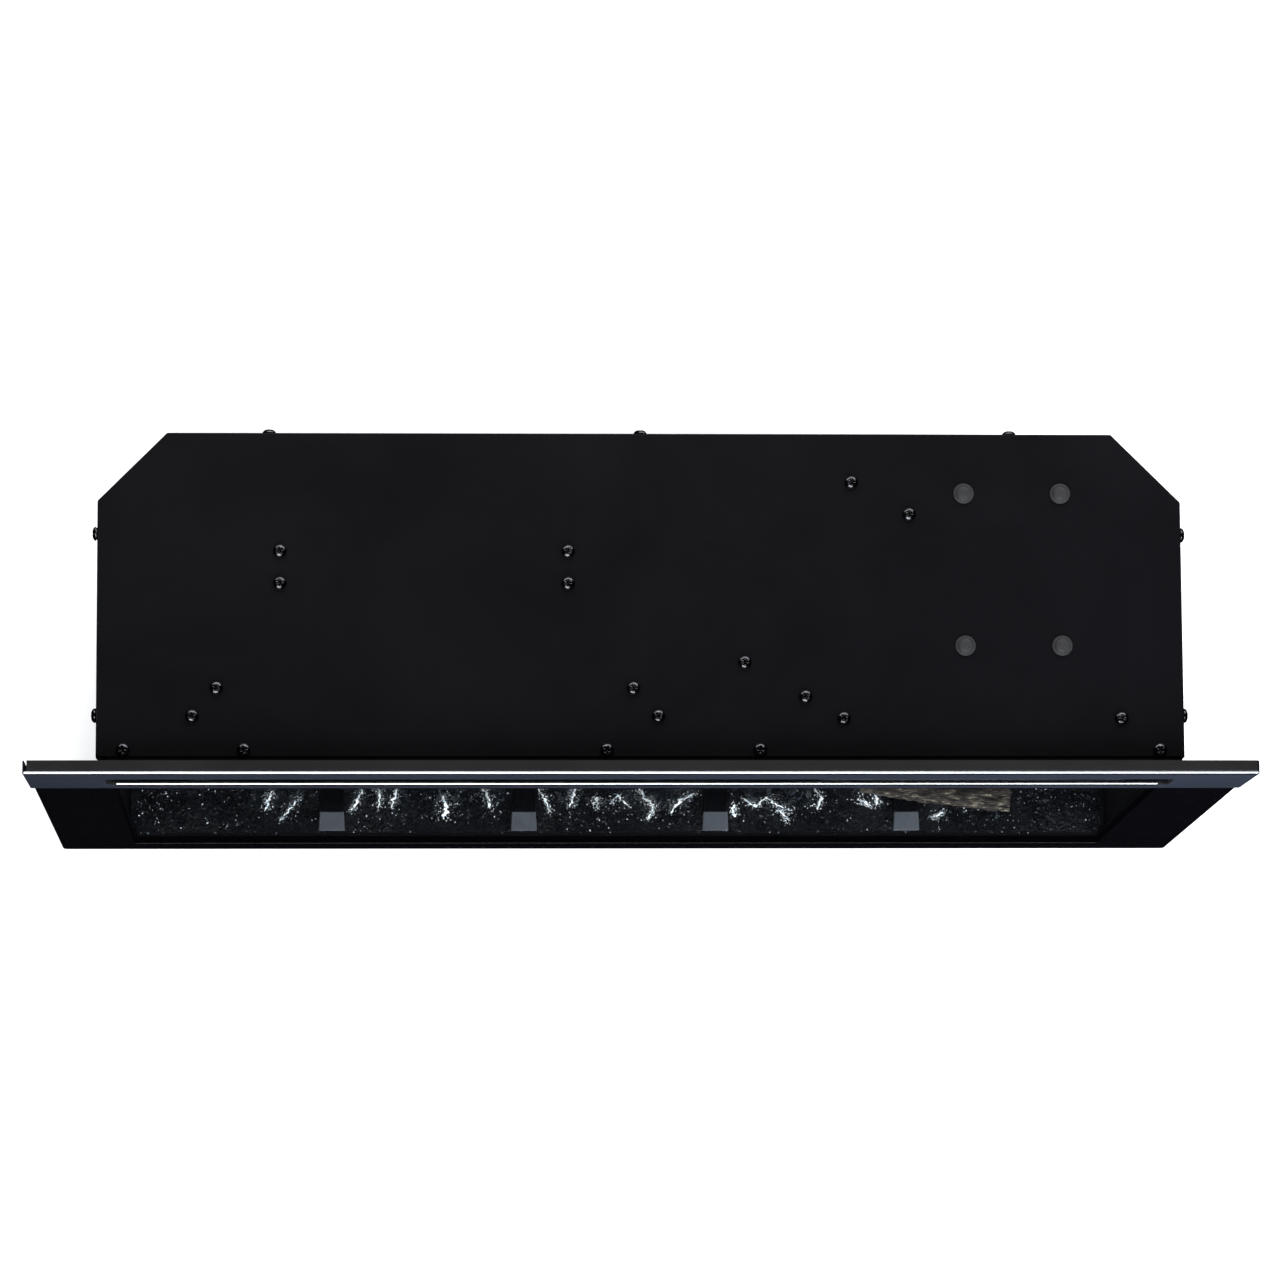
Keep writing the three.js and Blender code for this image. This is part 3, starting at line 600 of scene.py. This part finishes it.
def pan_head(radius, turn_by, sectors=48, rings=18):
    """Domed head with a cross recess, standing on z = 0, as a bmesh."""
    bm = bmesh.new()
    skirt = circle(bm, radius, 0, sectors)
    rows = [skirt]
    for i in range(rings):
        t = i / rings
        r = radius * (1 - t)
        row = []
        for j in range(sectors):
            a = 2 * math.pi * j / sectors + turn_by
            x = r * math.cos(a)
            y = r * math.sin(a)
            z = HEAD_SIDE + (HEAD_HEIGHT - HEAD_SIDE) * (1 - (r / radius) ** 2.8) ** 0.7
            u = x * math.cos(turn_by) + y * math.sin(turn_by)
            v = y * math.cos(turn_by) - x * math.sin(turn_by)
            reach = max(abs(u), abs(v))
            wide = min(abs(u), abs(v))
            arm = max(0.0, min(1.0, (RECESS_WIDTH - wide) / RECESS_WALL + 0.5))
            fall = max(0.0, min(1.0, (RECESS_ARM - reach) / RECESS_RAMP))
            row.append(bm.verts.new((x, y, z - RECESS_DEPTH * arm * fall)))
        rows.append(row)
    strip(bm, rows, close=True)
    tip = bm.verts.new((0, 0, HEAD_HEIGHT - RECESS_DEPTH))
    last = rows[-1]
    for j in range(sectors):
        bm.faces.new([last[j], last[(j + 1) % sectors], tip])
    bm.faces.new(list(reversed(skirt)))
    return bm


def set_in_place(bm, seat, axis):
    """Moves a bmesh that stands on z = 0 to its seat, standing along axis."""
    spin = Vector((0, 0, 1)).rotation_difference(Vector(axis)).to_matrix().to_4x4()
    bmesh.ops.transform(bm, matrix=Matrix.Translation(seat) @ spin, verts=bm.verts)
    bmesh.ops.recalc_face_normals(bm, faces=bm.faces)
    for face in bm.faces:
        face.smooth = True


def middle_of(name):
    low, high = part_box(name)
    return [(a + b) / 2 for a, b in zip(low, high)]


head_turns = random.Random(7)


def fit_head(name, radius, seat, axis):
    """Sets a screw head, its recess turned as it happened to stop, on its seat."""
    bm = pan_head(radius, head_turns.uniform(0, math.pi / 2))
    set_in_place(bm, seat, axis)
    mesh_piece(name.replace("screw", "screw_head"), bm, screw_black, "casing", "black_screw", name)


lid_screws = (("blower_screw", 4), ("duct_screw", 4), ("supply_screw", 4), ("switch_screw", 2),
              ("front_screw", 5))
for group, count in lid_screws:
    for i in range(1, count + 1):
        low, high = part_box(f"{group}_{i}")
        x, y, _ = middle_of(f"{group}_{i}")
        seat = (x, y, lid_high[2] + HEAD_GAP)
        fit_head(f"{group}_{i}", (high[0] - low[0]) / 2, seat, (0, 0, 1))
edge_screws = (("back_screw", 3, (0, 1, 0)), ("side_screw_left", 2, (-1, 0, 0)),
               ("side_screw_right", 2, (1, 0, 0)))
for group, count, axis in edge_screws:
    for i in range(1, count + 1):
        low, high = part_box(f"{group}_{i}")
        seat = middle_of(f"{group}_{i}")
        for k in (0, 1):
            if axis[k]:
                seat[k] = axis[k] * (lid_high[k] + HEAD_GAP)
        fit_head(f"{group}_{i}", (high[2] - low[2]) / 2, seat, axis)


# Studs. Four push-in nylon studs carry the control board under the lid; only their domed caps, each
# with a low collar, stand above the sheet.
stud_nylon, tree, shader = finish("stud_nylon", (0.022, 0.022, 0.024), 0.6)
grain = textured(tree, "ShaderNodeTexNoise", Scale=1100.0, Detail=4.0)
tinted(tree, shader, grain.outputs["Fac"],
       [(0.3, (0.018, 0.018, 0.020)), (0.8, (0.030, 0.030, 0.032))])
glossed(tree, shader, grain.outputs["Fac"], 0.5, 0.68)
bumped(tree, shader, grain.outputs["Fac"], 0.03 * MM, 0.6)

# Radius and height of the cap from its foot to its top, in mm.
CAP_PROFILE = ((7.3, 0.25), (7.3, 0.9), (7.1, 1.35), (6.6, 1.6), (6.15, 1.55), (5.9, 1.75),
               (5.2, 2.9), (4.2, 3.6), (2.8, 4.05), (1.2, 4.25), (0.4, 4.28))
CAP_SECTORS = 40


def tube(bm, rows):
    """A skin over rings of vertices, closed at both ends."""
    strip(bm, rows, close=True)
    bm.faces.new(rows[-1])
    bm.faces.new(list(reversed(rows[0])))


for i in range(1, 5):
    x, y, _ = middle_of(f"board_stud_{i}")
    bm = bmesh.new()
    tube(bm, [circle(bm, r * MM, z * MM, CAP_SECTORS) for r, z in CAP_PROFILE])
    set_in_place(bm, (x, y, lid_high[2]), (0, 0, 1))
    mesh_piece(f"stud_cap_{i}", bm, stud_nylon, "casing", "cap_plastic", f"board_stud_{i}")


# Media bed. Splinters of dark tempered glass lie loose in the tray up to the pane, and leave the
# rail's four arms clear; some of them glow as painted glints.
bed_low, bed_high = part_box("glass_bed")
rail_low, rail_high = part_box("bed_rail")
ARM_SPACING = 148 * MM
ARM_HALF = 9 * MM
ARM_BESIDE = 1.5 * MM
ARM_AHEAD = 2 * MM
ARM_BEHIND = 1 * MM
TOE_LENGTH = 14.2 * MM
arm_back = rail_high[1]
arm_front = rail_low[1] + TOE_LENGTH
arm_middles = [k * ARM_SPACING / 2 for k in (-3, -1, 1, 3)]

bed_slab, tree, shader = finish("bed_slab", (0.004, 0.005, 0.006), 0.35)
grit = textured(tree, "ShaderNodeTexVoronoi", Scale=420.0)
tinted(tree, shader, grit.outputs["Distance"],
       [(0.2, (0.003, 0.004, 0.005)), (0.8, (0.016, 0.018, 0.022))])
bumped(tree, shader, grit.outputs["Distance"], 0.8 * MM, 0.8)
recoated("glass_bed", bed_slab)

chip_glass, tree, shader = finish("chip_glass", (0.008, 0.010, 0.012), 0.1, Coat_Weight=0.5)
fleck = textured(tree, "ShaderNodeTexNoise", Scale=160.0, Detail=3.0)
tinted(tree, shader, fleck.outputs["Fac"],
       [(0.35, (0.005, 0.006, 0.008)), (0.58, (0.014, 0.017, 0.022)), (0.74, (0.12, 0.15, 0.18))])
glossed(tree, shader, fleck.outputs["Fac"], 0.05, 0.3)


def painted_glow(tree, shader, source, stops):
    """One ramp for the colour and for a painted glow on a piece that is no lamp: a painted highlight.
    """
    tint = graded(tree, source, stops)
    tree.links.new(tint, shader.inputs["Base Color"])
    tree.links.new(tint, shader.inputs["Emission Color"])


def painted_glint_finish(name, dark, bright, strength):
    """Splinters with a painted glint: they glow, each one paler or darker than the next."""
    made, tree, shader = finish(name, bright, 0.12, Emission_Strength=strength)
    fleck = textured(tree, "ShaderNodeTexNoise", Scale=240.0, Detail=2.0)
    painted_glow(tree, shader, fleck.outputs["Fac"], [(0.3, dark), (0.7, bright)])
    return made


painted_glint_chip = painted_glint_finish("painted_glint_chip", (0.25, 0.30, 0.34), (0.80, 0.90, 0.95), 1.9)
faint_painted_glint_chip = painted_glint_finish("faint_painted_glint_chip", (0.04, 0.055, 0.065), (0.34, 0.40, 0.44), 0.8)


def chip(bm, centre, size, rng, material):
    """One broken splinter: a squashed, skewed octahedron."""
    axes = [Vector([rng.gauss(0, 1) for _ in range(3)]).normalized() for _ in range(3)]
    points = []
    for axis in axes:
        for sign in (-1, 1):
            points.append(bm.verts.new(centre + axis * sign * size * rng.uniform(0.35, 1.0)))
    for hull in ((0, 2, 4), (2, 1, 4), (1, 3, 4), (3, 0, 4), (2, 0, 5), (1, 2, 5), (3, 1, 5),
                 (0, 3, 5)):
        face = bm.faces.new([points[k] for k in hull])
        face.material_index = material


def on_arm(x, y):
    """Whether a place lies on one of the rail's arms, where no splinter rests."""
    beside = min(abs(x - middle) for middle in arm_middles)
    return beside < ARM_HALF + ARM_BESIDE and arm_front - ARM_AHEAD < y < arm_back + ARM_BEHIND


CHIPS = 13000
TRAY_MARGIN = 3 * MM
FRONT_SPILL = 0.6 * MM
WINDOW_HALF = 371 * MM
LEDGE_DEEP = 6.5 * MM
LEDGE_FALL = 15 * MM
BED_SINK = 1.4 * MM
BED_WAVE = 1.8 * MM
LIT_RISE = 0.8 * MM
chips = random.Random(21)
bm = bmesh.new()
for _ in range(CHIPS):
    x = chips.uniform(bed_low[0] + TRAY_MARGIN, bed_high[0] - TRAY_MARGIN)
    y = chips.uniform(bed_low[1] - FRONT_SPILL, bed_high[1] - TRAY_MARGIN)
    on_ledge = y < bed_low[1] + LEDGE_DEEP
    if on_arm(x, y) or (on_ledge and abs(x) > WINDOW_HALF):
        continue
    z = bed_high[2] - BED_SINK + BED_WAVE * noise.noise(Vector((x * 22, y * 40, 3)))
    patch = noise.noise(Vector((x * 9, y * 9, 8)))
    if on_ledge:
        z -= chips.random() ** 2 * LEDGE_FALL
    # The chips picked here glow as painted glints and sit a little higher than the rest.
    lit = chips.random() < (0.17 if on_ledge else 0.10 + 0.12 * patch)
    size = (chips.uniform(0.4, 0.95) if lit else chips.uniform(0.8, 2.2)) * MM
    tone = (1 if chips.random() < 0.55 else 2) if lit else 0
    chip(bm, Vector((x, y, z + (LIT_RISE if lit else 0))), size, chips, tone)
bmesh.ops.recalc_face_normals(bm, faces=bm.faces)
mesh_piece("glass_chips", bm, [chip_glass, painted_glint_chip, faint_painted_glint_chip], "casing", "crushed_glass")


# Bed rail. One strip of steel at the back of the tray carries four flat black arms; each arm ends
# at the front in a toe that slopes towards the pane, its grey a painted sheen of light on the slope.
rail_coat = coated("rail_coat", (0.0010, 0.0012, 0.0018), (0.0032, 0.0036, 0.0046), 0.4, 0.55,
                   Specular_IOR_Level=0.15)
# Grey stands in for the light on the slope of the black toes: a painted sheen.
toe_painted_sheen, tree, shader = finish("toe_painted_sheen", (0.22, 0.245, 0.285), 0.6)
grain = placed(tree, coat_grain, Grain=500.0, Smudge=90.0)
tinted(tree, shader, grain.outputs["Tone"],
       [(0.3, (0.125, 0.145, 0.175)), (0.9, (0.185, 0.21, 0.245))])
bumped(tree, shader, grain.outputs["Height"], 0.05 * MM, 0.7)


def tapered_block(bm, low_ring, high_ring, material):
    """A four-cornered block between a lower and an upper ring of points."""
    lower = [bm.verts.new(p) for p in low_ring]
    upper = [bm.verts.new(p) for p in high_ring]
    made = [bm.faces.new(list(reversed(lower))), bm.faces.new(upper)]
    for i in range(4):
        j = (i + 1) % 4
        made.append(bm.faces.new([lower[i], lower[j], upper[j], upper[i]]))
    for face in made:
        face.material_index = material


def rectangle(x0, x1, y0, y1, z):
    return [(x0, y0, z), (x1, y0, z), (x1, y1, z), (x0, y1, z)]


BAR_HALF = 240 * MM
BAR_WIDE = 17 * MM
BAR_THICK = 2 * MM
TOE_FRONT = 10 * MM
TOE_BACK = 9.2 * MM
TOE_SINK = 1 * MM
TOE_THICK = 6 * MM
TOE_SLOPE = 2 * MM
toe_top = rail_high[2] - TOE_SINK
toe_low = toe_top - TOE_THICK
bm = bmesh.new()
bar = (-BAR_HALF, BAR_HALF, arm_back - BAR_WIDE, arm_back)
tapered_block(bm, rectangle(*bar, rail_low[2]), rectangle(*bar, rail_low[2] + BAR_THICK), 0)
for x in arm_middles:
    arm = (x - ARM_HALF, x + ARM_HALF, arm_front, arm_back)
    tapered_block(bm, rectangle(*arm, rail_low[2]), rectangle(*arm, rail_high[2]), 0)
    plan = [(x - TOE_FRONT, rail_low[1]), (x + TOE_FRONT, rail_low[1]),
            (x + TOE_BACK, arm_front), (x - TOE_BACK, arm_front)]
    tapered_block(bm, [(a, b, toe_low) for a, b in plan],
                  [(a, b, toe_top - (TOE_SLOPE if b < arm_front else 0)) for a, b in plan], 1)
bmesh.ops.recalc_face_normals(bm, faces=bm.faces)
rail = mesh_piece("rail", bm, [rail_coat, toe_painted_sheen], "casing", "bed_rail_paint", "bed_rail")
eased(rail, "edges", 0.6 * MM, 3, 30)


# Ice. Clear acrylic pieces, cast in rows on a rib, lie behind the toes; glowing streaks on them,
# their broken crests and the crumbs round the crests are painted highlights.
clear_ice, tree, shader = finish("clear_ice", (0.02, 0.027, 0.034), 0.08, Alpha=0.3,
                                 Coat_Weight=1.0, Coat_Roughness=0.04, Emission_Strength=0.35)
warp = textured(tree, "ShaderNodeTexNoise", stretch=(1.0, 0.45, 0.35), Scale=48.0, Detail=3.0,
                Distortion=1.4)
# The narrow bright band in this ramp glows: painted highlights streaking the ice.
painted_glow(tree, shader, warp.outputs["Fac"], [
    (0.0, (0.003, 0.004, 0.006)), (0.575, (0.006, 0.008, 0.011)), (0.585, (0.16, 0.20, 0.24)),
    (0.59, (0.16, 0.20, 0.24)), (0.60, (0.007, 0.010, 0.013))])
bumped(tree, shader, warp.outputs["Fac"], 2 * MM, 0.8)

# Where the lumps of each piece of ice start and end along the tray, in mm.
ICE_RUNS = {"ice_left": ((-281, -252), (-197, -99)), "ice_right": ((-47, 50), (99, 158))}
LUMP_PITCH = 12
RIB_HIGH = 6.5 * MM
RIB_HALF = 3.6 * MM
RIB_BACK = 4.5 * MM
RIB_STEPS = 60
RIB_SECTORS = 12
ice_rng = random.Random(5)
for name, runs in ICE_RUNS.items():
    low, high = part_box(name)
    bm = bmesh.new()
    for start, end in runs:
        lumps = max(2, round((end - start) / LUMP_PITCH) + 1)
        for i in range(lumps):
            grown = bmesh.ops.create_icosphere(bm, subdivisions=4, radius=1.0)["verts"]
            centre = Vector(((start + (end - start) * i / (lumps - 1)) * MM,
                             (low[1] + high[1]) / 2 + ice_rng.uniform(-4, 2) * MM,
                             low[2] + 5 * MM))
            size = Vector((ice_rng.uniform(12, 16), ice_rng.uniform(11, 15),
                           ice_rng.uniform(12, 19))) * MM
            shift = Vector((ice_rng.uniform(0, 50), 0, 0))
            for v in grown:
                rough = noise.ridged_multi_fractal(v.co * 1.5 + shift, 1.0, 2.1, 3, 0.9, 1.9)
                reach = 0.70 + 0.16 * rough
                v.co = Vector([a * reach * b for a, b in zip(v.co, size)]) + centre
                v.co = Vector([min(max(a, l), h) for a, l, h in zip(v.co, low, high)])
    rib_y = high[1] - RIB_BACK
    rows = []
    for i in range(RIB_STEPS + 1):
        x = low[0] + (high[0] - low[0]) * (0.06 + 0.88 * i / RIB_STEPS)
        row = []
        for j in range(RIB_SECTORS):
            a = 2 * math.pi * j / RIB_SECTORS
            swell = 0.8 + 0.2 * noise.noise(Vector((x * 60, math.cos(a), math.sin(a))))
            row.append(bm.verts.new((x, rib_y + RIB_HALF * swell * math.cos(a),
                                     low[2] + RIB_HIGH / 2 * (1 + swell * math.sin(a)))))
        rows.append(row)
    tube(bm, rows)
    bmesh.ops.recalc_face_normals(bm, faces=bm.faces)
    for face in bm.faces:
        face.smooth = True
    mesh_piece(name.replace("ice_", "ice_pieces_"), bm, clear_ice, "casing", "acrylic_ice", name)

# The crests and their crumbs glow: painted highlights along the ice.
crest_painted_highlight, tree, shader = finish("crest_painted_highlight", (0.75, 0.84, 0.90), 0.2, Coat_Weight=0.6,
                                     Emission_Strength=1.8)
crest_glint_noise = textured(tree, "ShaderNodeTexNoise", Scale=420.0, Detail=3.0, Roughness=0.65)
painted_glow(tree, shader, crest_glint_noise.outputs["Fac"],
        [(0.38, (0.08, 0.12, 0.15)), (0.47, (0.60, 0.72, 0.80)), (0.56, (0.95, 0.99, 1.0))])
bumped(tree, shader, crest_glint_noise.outputs["Fac"], 0.6 * MM, 0.8)

# Each crest is a width and the points that it wanders through, in mm seen from above.
CRESTS = (
    (1.5, (-268, -90), (-270, -97), (-273, -105)), (0.6, (-262, -113), (-254, -104), (-245, -94)),
    (1.1, (-199, -89), (-202, -98), (-208, -106)), (1.2, (-187, -87), (-185, -95), (-186, -103)),
    (1.4, (-172, -87), (-174, -95), (-177, -102)), (2.4, (-137, -94), (-134, -103), (-136, -111)),
    (1.6, (-106, -87), (-102, -95), (-100, -103)), (0.7, (-62, -89), (-58, -97), (-54, -106)),
    (1.3, (-34, -87), (-36, -94), (-38, -102)), (1.0, (-21, -101), (-16, -95), (-17, -103)),
    (1.0, (-8, -100), (-1, -94), (6, -102)), (1.5, (15, -87), (19, -96), (26, -101)),
    (0.8, (26, -101), (24, -107), (22, -112)), (1.7, (40, -107), (47, -97), (58, -92)),
    (1.8, (89, -101), (87, -106), (89, -110)), (1.3, (96, -96), (105, -103), (113, -95)),
    (1.2, (113, -95), (124, -103), (133, -105)), (1.3, (150, -87), (156, -96), (153, -104)),
    (0.8, (122, -105), (127, -109), (131, -113)), (0.9, (186, -97), (190, -99), (194, -102)),
    (1.0, (197, -92), (199, -97), (199, -101)), (1.1, (249, -106), (247, -109), (243, -110)),
)
CREST_RISE = 12 * MM
CREST_FALL = 8 * MM
CREST_STEPS = 26
CREST_SECTORS = 8
CRUMBS = 4
crest_rng = random.Random(11)
noise.seed_set(3)
crest_z = bed_high[2] + CREST_RISE
bm = bmesh.new()
for wide, *path in CRESTS:
    rows = []
    for i in range(CREST_STEPS + 1):
        t = i / CREST_STEPS
        leg = min(int(t * (len(path) - 1)), len(path) - 2)
        part = t * (len(path) - 1) - leg
        spot = Vector((*path[leg], 0)).lerp(Vector((*path[leg + 1], 0)), part) * MM
        drift = noise.noise_vector(spot * 420)
        middle = Vector((spot.x + 2.0 * MM * drift.x, spot.y + 1.0 * MM * drift.y,
                         crest_z - CREST_FALL * abs(t - 0.4) + 1.5 * MM * drift.z))
        taper = math.sin(math.pi * (0.06 + 0.88 * t)) ** 0.6
        girth = wide * MM * taper * (0.30 + 1.5 * abs(noise.noise(spot * 800)))
        rows.append([
            bm.verts.new(middle + Vector((girth * math.cos(a), 0.35 * girth * math.sin(a),
                                          0.7 * girth * math.sin(a))))
            for a in (2 * math.pi * j / CREST_SECTORS for j in range(CREST_SECTORS))])
        for _ in range(CRUMBS):
            spot = middle + Vector([crest_rng.gauss(0, s) * MM for s in (0.8 + 1.3 * wide, 1.8, 0.8)])
            if min(abs(spot.x - arm) for arm in arm_middles) > TOE_FRONT + ARM_BEHIND:
                chip(bm, spot, crest_rng.uniform(0.2, 0.7) * MM, crest_rng, 0)
    tube(bm, rows)
bmesh.ops.recalc_face_normals(bm, faces=bm.faces)
mesh_piece("ice_crests", bm, crest_painted_highlight, "casing", "acrylic_ice")


# Driftwood. One weathered branch with split, chopped bark lies across the bed at the right, thin
# at its left end and sawn off square at its right.
bark, tree, shader = finish("bark", (0.10, 0.075, 0.05), 0.85)
fibre = textured(tree, "ShaderNodeTexNoise", stretch=(60.0, 260.0, 260.0), Scale=1.6, Detail=8.0,
                 Roughness=0.7, Distortion=0.8)
knots = textured(tree, "ShaderNodeTexVoronoi", Scale=85.0)
tinted(tree, shader, fibre.outputs["Fac"],
       [(0.38, (0.010, 0.009, 0.008)), (0.50, (0.055, 0.05, 0.045)), (0.58, (0.15, 0.135, 0.11)),
        (0.67, (0.70, 0.62, 0.49))])
raised = weighted(tree, knots.outputs["Distance"], 0.5, fibre.outputs["Fac"])
bumped(tree, shader, raised, 2 * MM, 0.9)

low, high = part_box("driftwood_log")
LOG_THIN = 9.5 * MM
LOG_THICK = 14 * MM
SAWN_OFF = 4 * MM
STATIONS = 90
AROUND = 56
log_z = (low[2] + high[2]) / 2
bm = bmesh.new()
rows = []
for i in range(STATIONS + 1):
    t = i / STATIONS
    x = low[0] + (high[0] - low[0] - SAWN_OFF) * t
    thick = LOG_THIN + (LOG_THICK - LOG_THIN) * t
    cy = low[1] + 0.96 * LOG_THICK + (high[1] - LOG_THIN - low[1] - LOG_THICK) * (1 - t) ** 1.5
    row = []
    for j in range(AROUND):
        a = 2 * math.pi * j / AROUND
        ring = Vector((x * 14, math.cos(a) * 2.2, math.sin(a) * 2.2))
        groove = noise.noise(ring)
        split = noise.noise(Vector((x * 40, math.cos(a) * 9, math.sin(a) * 9)))
        chop = noise.noise(Vector((x * 160, math.cos(a) * 5, math.sin(a) * 5)))
        r = thick * (0.84 + 0.13 * groove + 0.10 * split + 0.09 * chop)
        y = min(max(cy + r * math.cos(a), low[1]), high[1])
        z = min(max(log_z + 0.86 * r * math.sin(a), low[2]), high[2])
        row.append(bm.verts.new((x, y, z)))
    rows.append(row)
tube(bm, rows)
bmesh.ops.recalc_face_normals(bm, faces=bm.faces)
for face in bm.faces:
    face.smooth = len(face.verts) == 4
mesh_piece("branch", bm, bark, "casing", "driftwood", "driftwood_log")


# Glass seal. A black foam tape on the trim frame fills the gap behind the pane's sides and foot.
seal_foam = coated("seal_foam", (0.003, 0.003, 0.003), (0.008, 0.008, 0.008), 0.85, 0.95)
SEAL_WIDE = 8 * MM
SEAL_INSET = 4 * MM
SEAL_GAP = 0.2 * MM
ring_low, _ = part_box("trim_frame")
seal_side = glass_high[0] - SEAL_INSET
seal_foot = glass_low[2] + SEAL_INSET
bm = bmesh.new()
for x0, x1, z0, z1 in (
        (-seal_side, SEAL_WIDE - seal_side, seal_foot, glass_high[2] - SEAL_INSET),
        (seal_side - SEAL_WIDE, seal_side, seal_foot, glass_high[2] - SEAL_INSET),
        (SEAL_WIDE - seal_side, seal_side - SEAL_WIDE, seal_foot, seal_foot + SEAL_WIDE)):
    plan = (x0, x1, glass_high[1] + SEAL_GAP, ring_low[1] - SEAL_GAP)
    tapered_block(bm, rectangle(*plan, z0), rectangle(*plan, z1), 0)
bmesh.ops.recalc_face_normals(bm, faces=bm.faces)
mesh_piece("glass_seal", bm, seal_foam, "casing", "grommet_rubber")


# Flame screen and lamps. A grey diffusing acrylic sheet stands behind the bed; a lamp board lies
# on the base behind it, and mirror vanes on a slow rod throw moving light at its back.
screen_grey, tree, shader = finish("screen_grey", (0.035, 0.037, 0.042), 0.3)
haze = textured(tree, "ShaderNodeTexNoise", Scale=2.5, Detail=2.0)
stipple = textured(tree, "ShaderNodeTexNoise", Scale=1400.0, Detail=2.0)
tinted(tree, shader, haze.outputs["Fac"],
       [(0.2, (0.028, 0.030, 0.035)), (0.8, (0.038, 0.040, 0.046))])
glossed(tree, shader, haze.outputs["Fac"], 0.36, 0.44, 0.2, 0.8)
bumped(tree, shader, stipple.outputs["Fac"], 0.03 * MM, 0.5)


def printed_board(name, colour, roughness, tones, offset, **bricks):
    """A circuit board: two tones of solder mask, and the tone of the tracks between them."""
    made, tree, shader = finish(name, colour, roughness)
    layout = textured(tree, "ShaderNodeTexBrick", {"offset": offset}, **bricks)
    for socket, tone in zip(("Color1", "Color2", "Mortar"), tones):
        layout.inputs[socket].default_value = (*tone, 1)
    tree.links.new(layout.outputs["Color"], shader.inputs["Base Color"])
    return made


lamp_board = printed_board(
    "lamp_board", (0.7, 0.7, 0.67), 0.45,
    ((0.66, 0.66, 0.63), (0.74, 0.74, 0.71), (0.42, 0.42, 0.38)), 0.5, Scale=30.0, Mortar_Size=0.03)

zinc_sheet, tree, shader = finish("zinc_sheet", (0.20, 0.205, 0.21), 0.45, 1.0)
spangle = textured(tree, "ShaderNodeTexVoronoi", Scale=260.0, Randomness=1.0)
wipe = textured(tree, "ShaderNodeTexNoise", Scale=12.0, Detail=6.0)
tinted(tree, shader, spangle.outputs["Color"],
       [(0.2, (0.13, 0.135, 0.14)), (0.8, (0.19, 0.195, 0.20))])
glossed(tree, shader, wipe.outputs["Fac"], 0.4, 0.55)

moulded_black = coated("moulded_black", (0.010, 0.010, 0.011), (0.020, 0.020, 0.022), 0.42, 0.56)


def finished(finishes):
    """Gives each inner part its finish and breaks its edges."""
    for name, coat in finishes.items():
        eased(recoated(name, coat), "edges", 0.25 * MM, 2, 40)


finished({"flame_screen": screen_grey, "rear_lamp_board": lamp_board, "flicker_rod": zinc_sheet,
          "flicker_motor": zinc_sheet, "flicker_bearing": moulded_black})


# Heater, blower and switch. A cast element sits in a zinc-coated duct behind the outlet and a
# moulded wheel blows through it; the board, its supply and the rocker switch stand beside them.
cast_alloy, tree, shader = finish("cast_alloy", (0.35, 0.355, 0.36), 0.42, 1.0)
grain = placed(tree, coat_grain, Grain=700.0, Smudge=60.0)
tinted(tree, shader, grain.outputs["Tone"], [(0.3, (0.28, 0.285, 0.29)), (0.9, (0.46, 0.465, 0.48))])
glossed(tree, shader, grain.outputs["Gloss"], 0.34, 0.52)
bumped(tree, shader, grain.outputs["Height"], 0.04 * MM, 0.6)

bush_rubber = coated("bush_rubber", (0.006, 0.006, 0.006), (0.016, 0.015, 0.015), 0.75, 0.9)
board_green = printed_board(
    "board_green", (0.02, 0.09, 0.035), 0.4,
    ((0.018, 0.080, 0.032), (0.024, 0.100, 0.040), (0.035, 0.150, 0.055)), 0.3, Scale=90.0,
    Mortar_Size=0.04)

finished({"heater_duct": zinc_sheet, "heating_element": cast_alloy, "blower_housing": zinc_sheet,
          "blower_wheel": moulded_black, "blower_motor": cast_alloy, "control_board": board_green,
          "power_supply": zinc_sheet, "switch_bracket": zinc_sheet,
          "switch_housing": moulded_black, "power_rocker": moulded_black,
          "supply_grommet": bush_rubber})
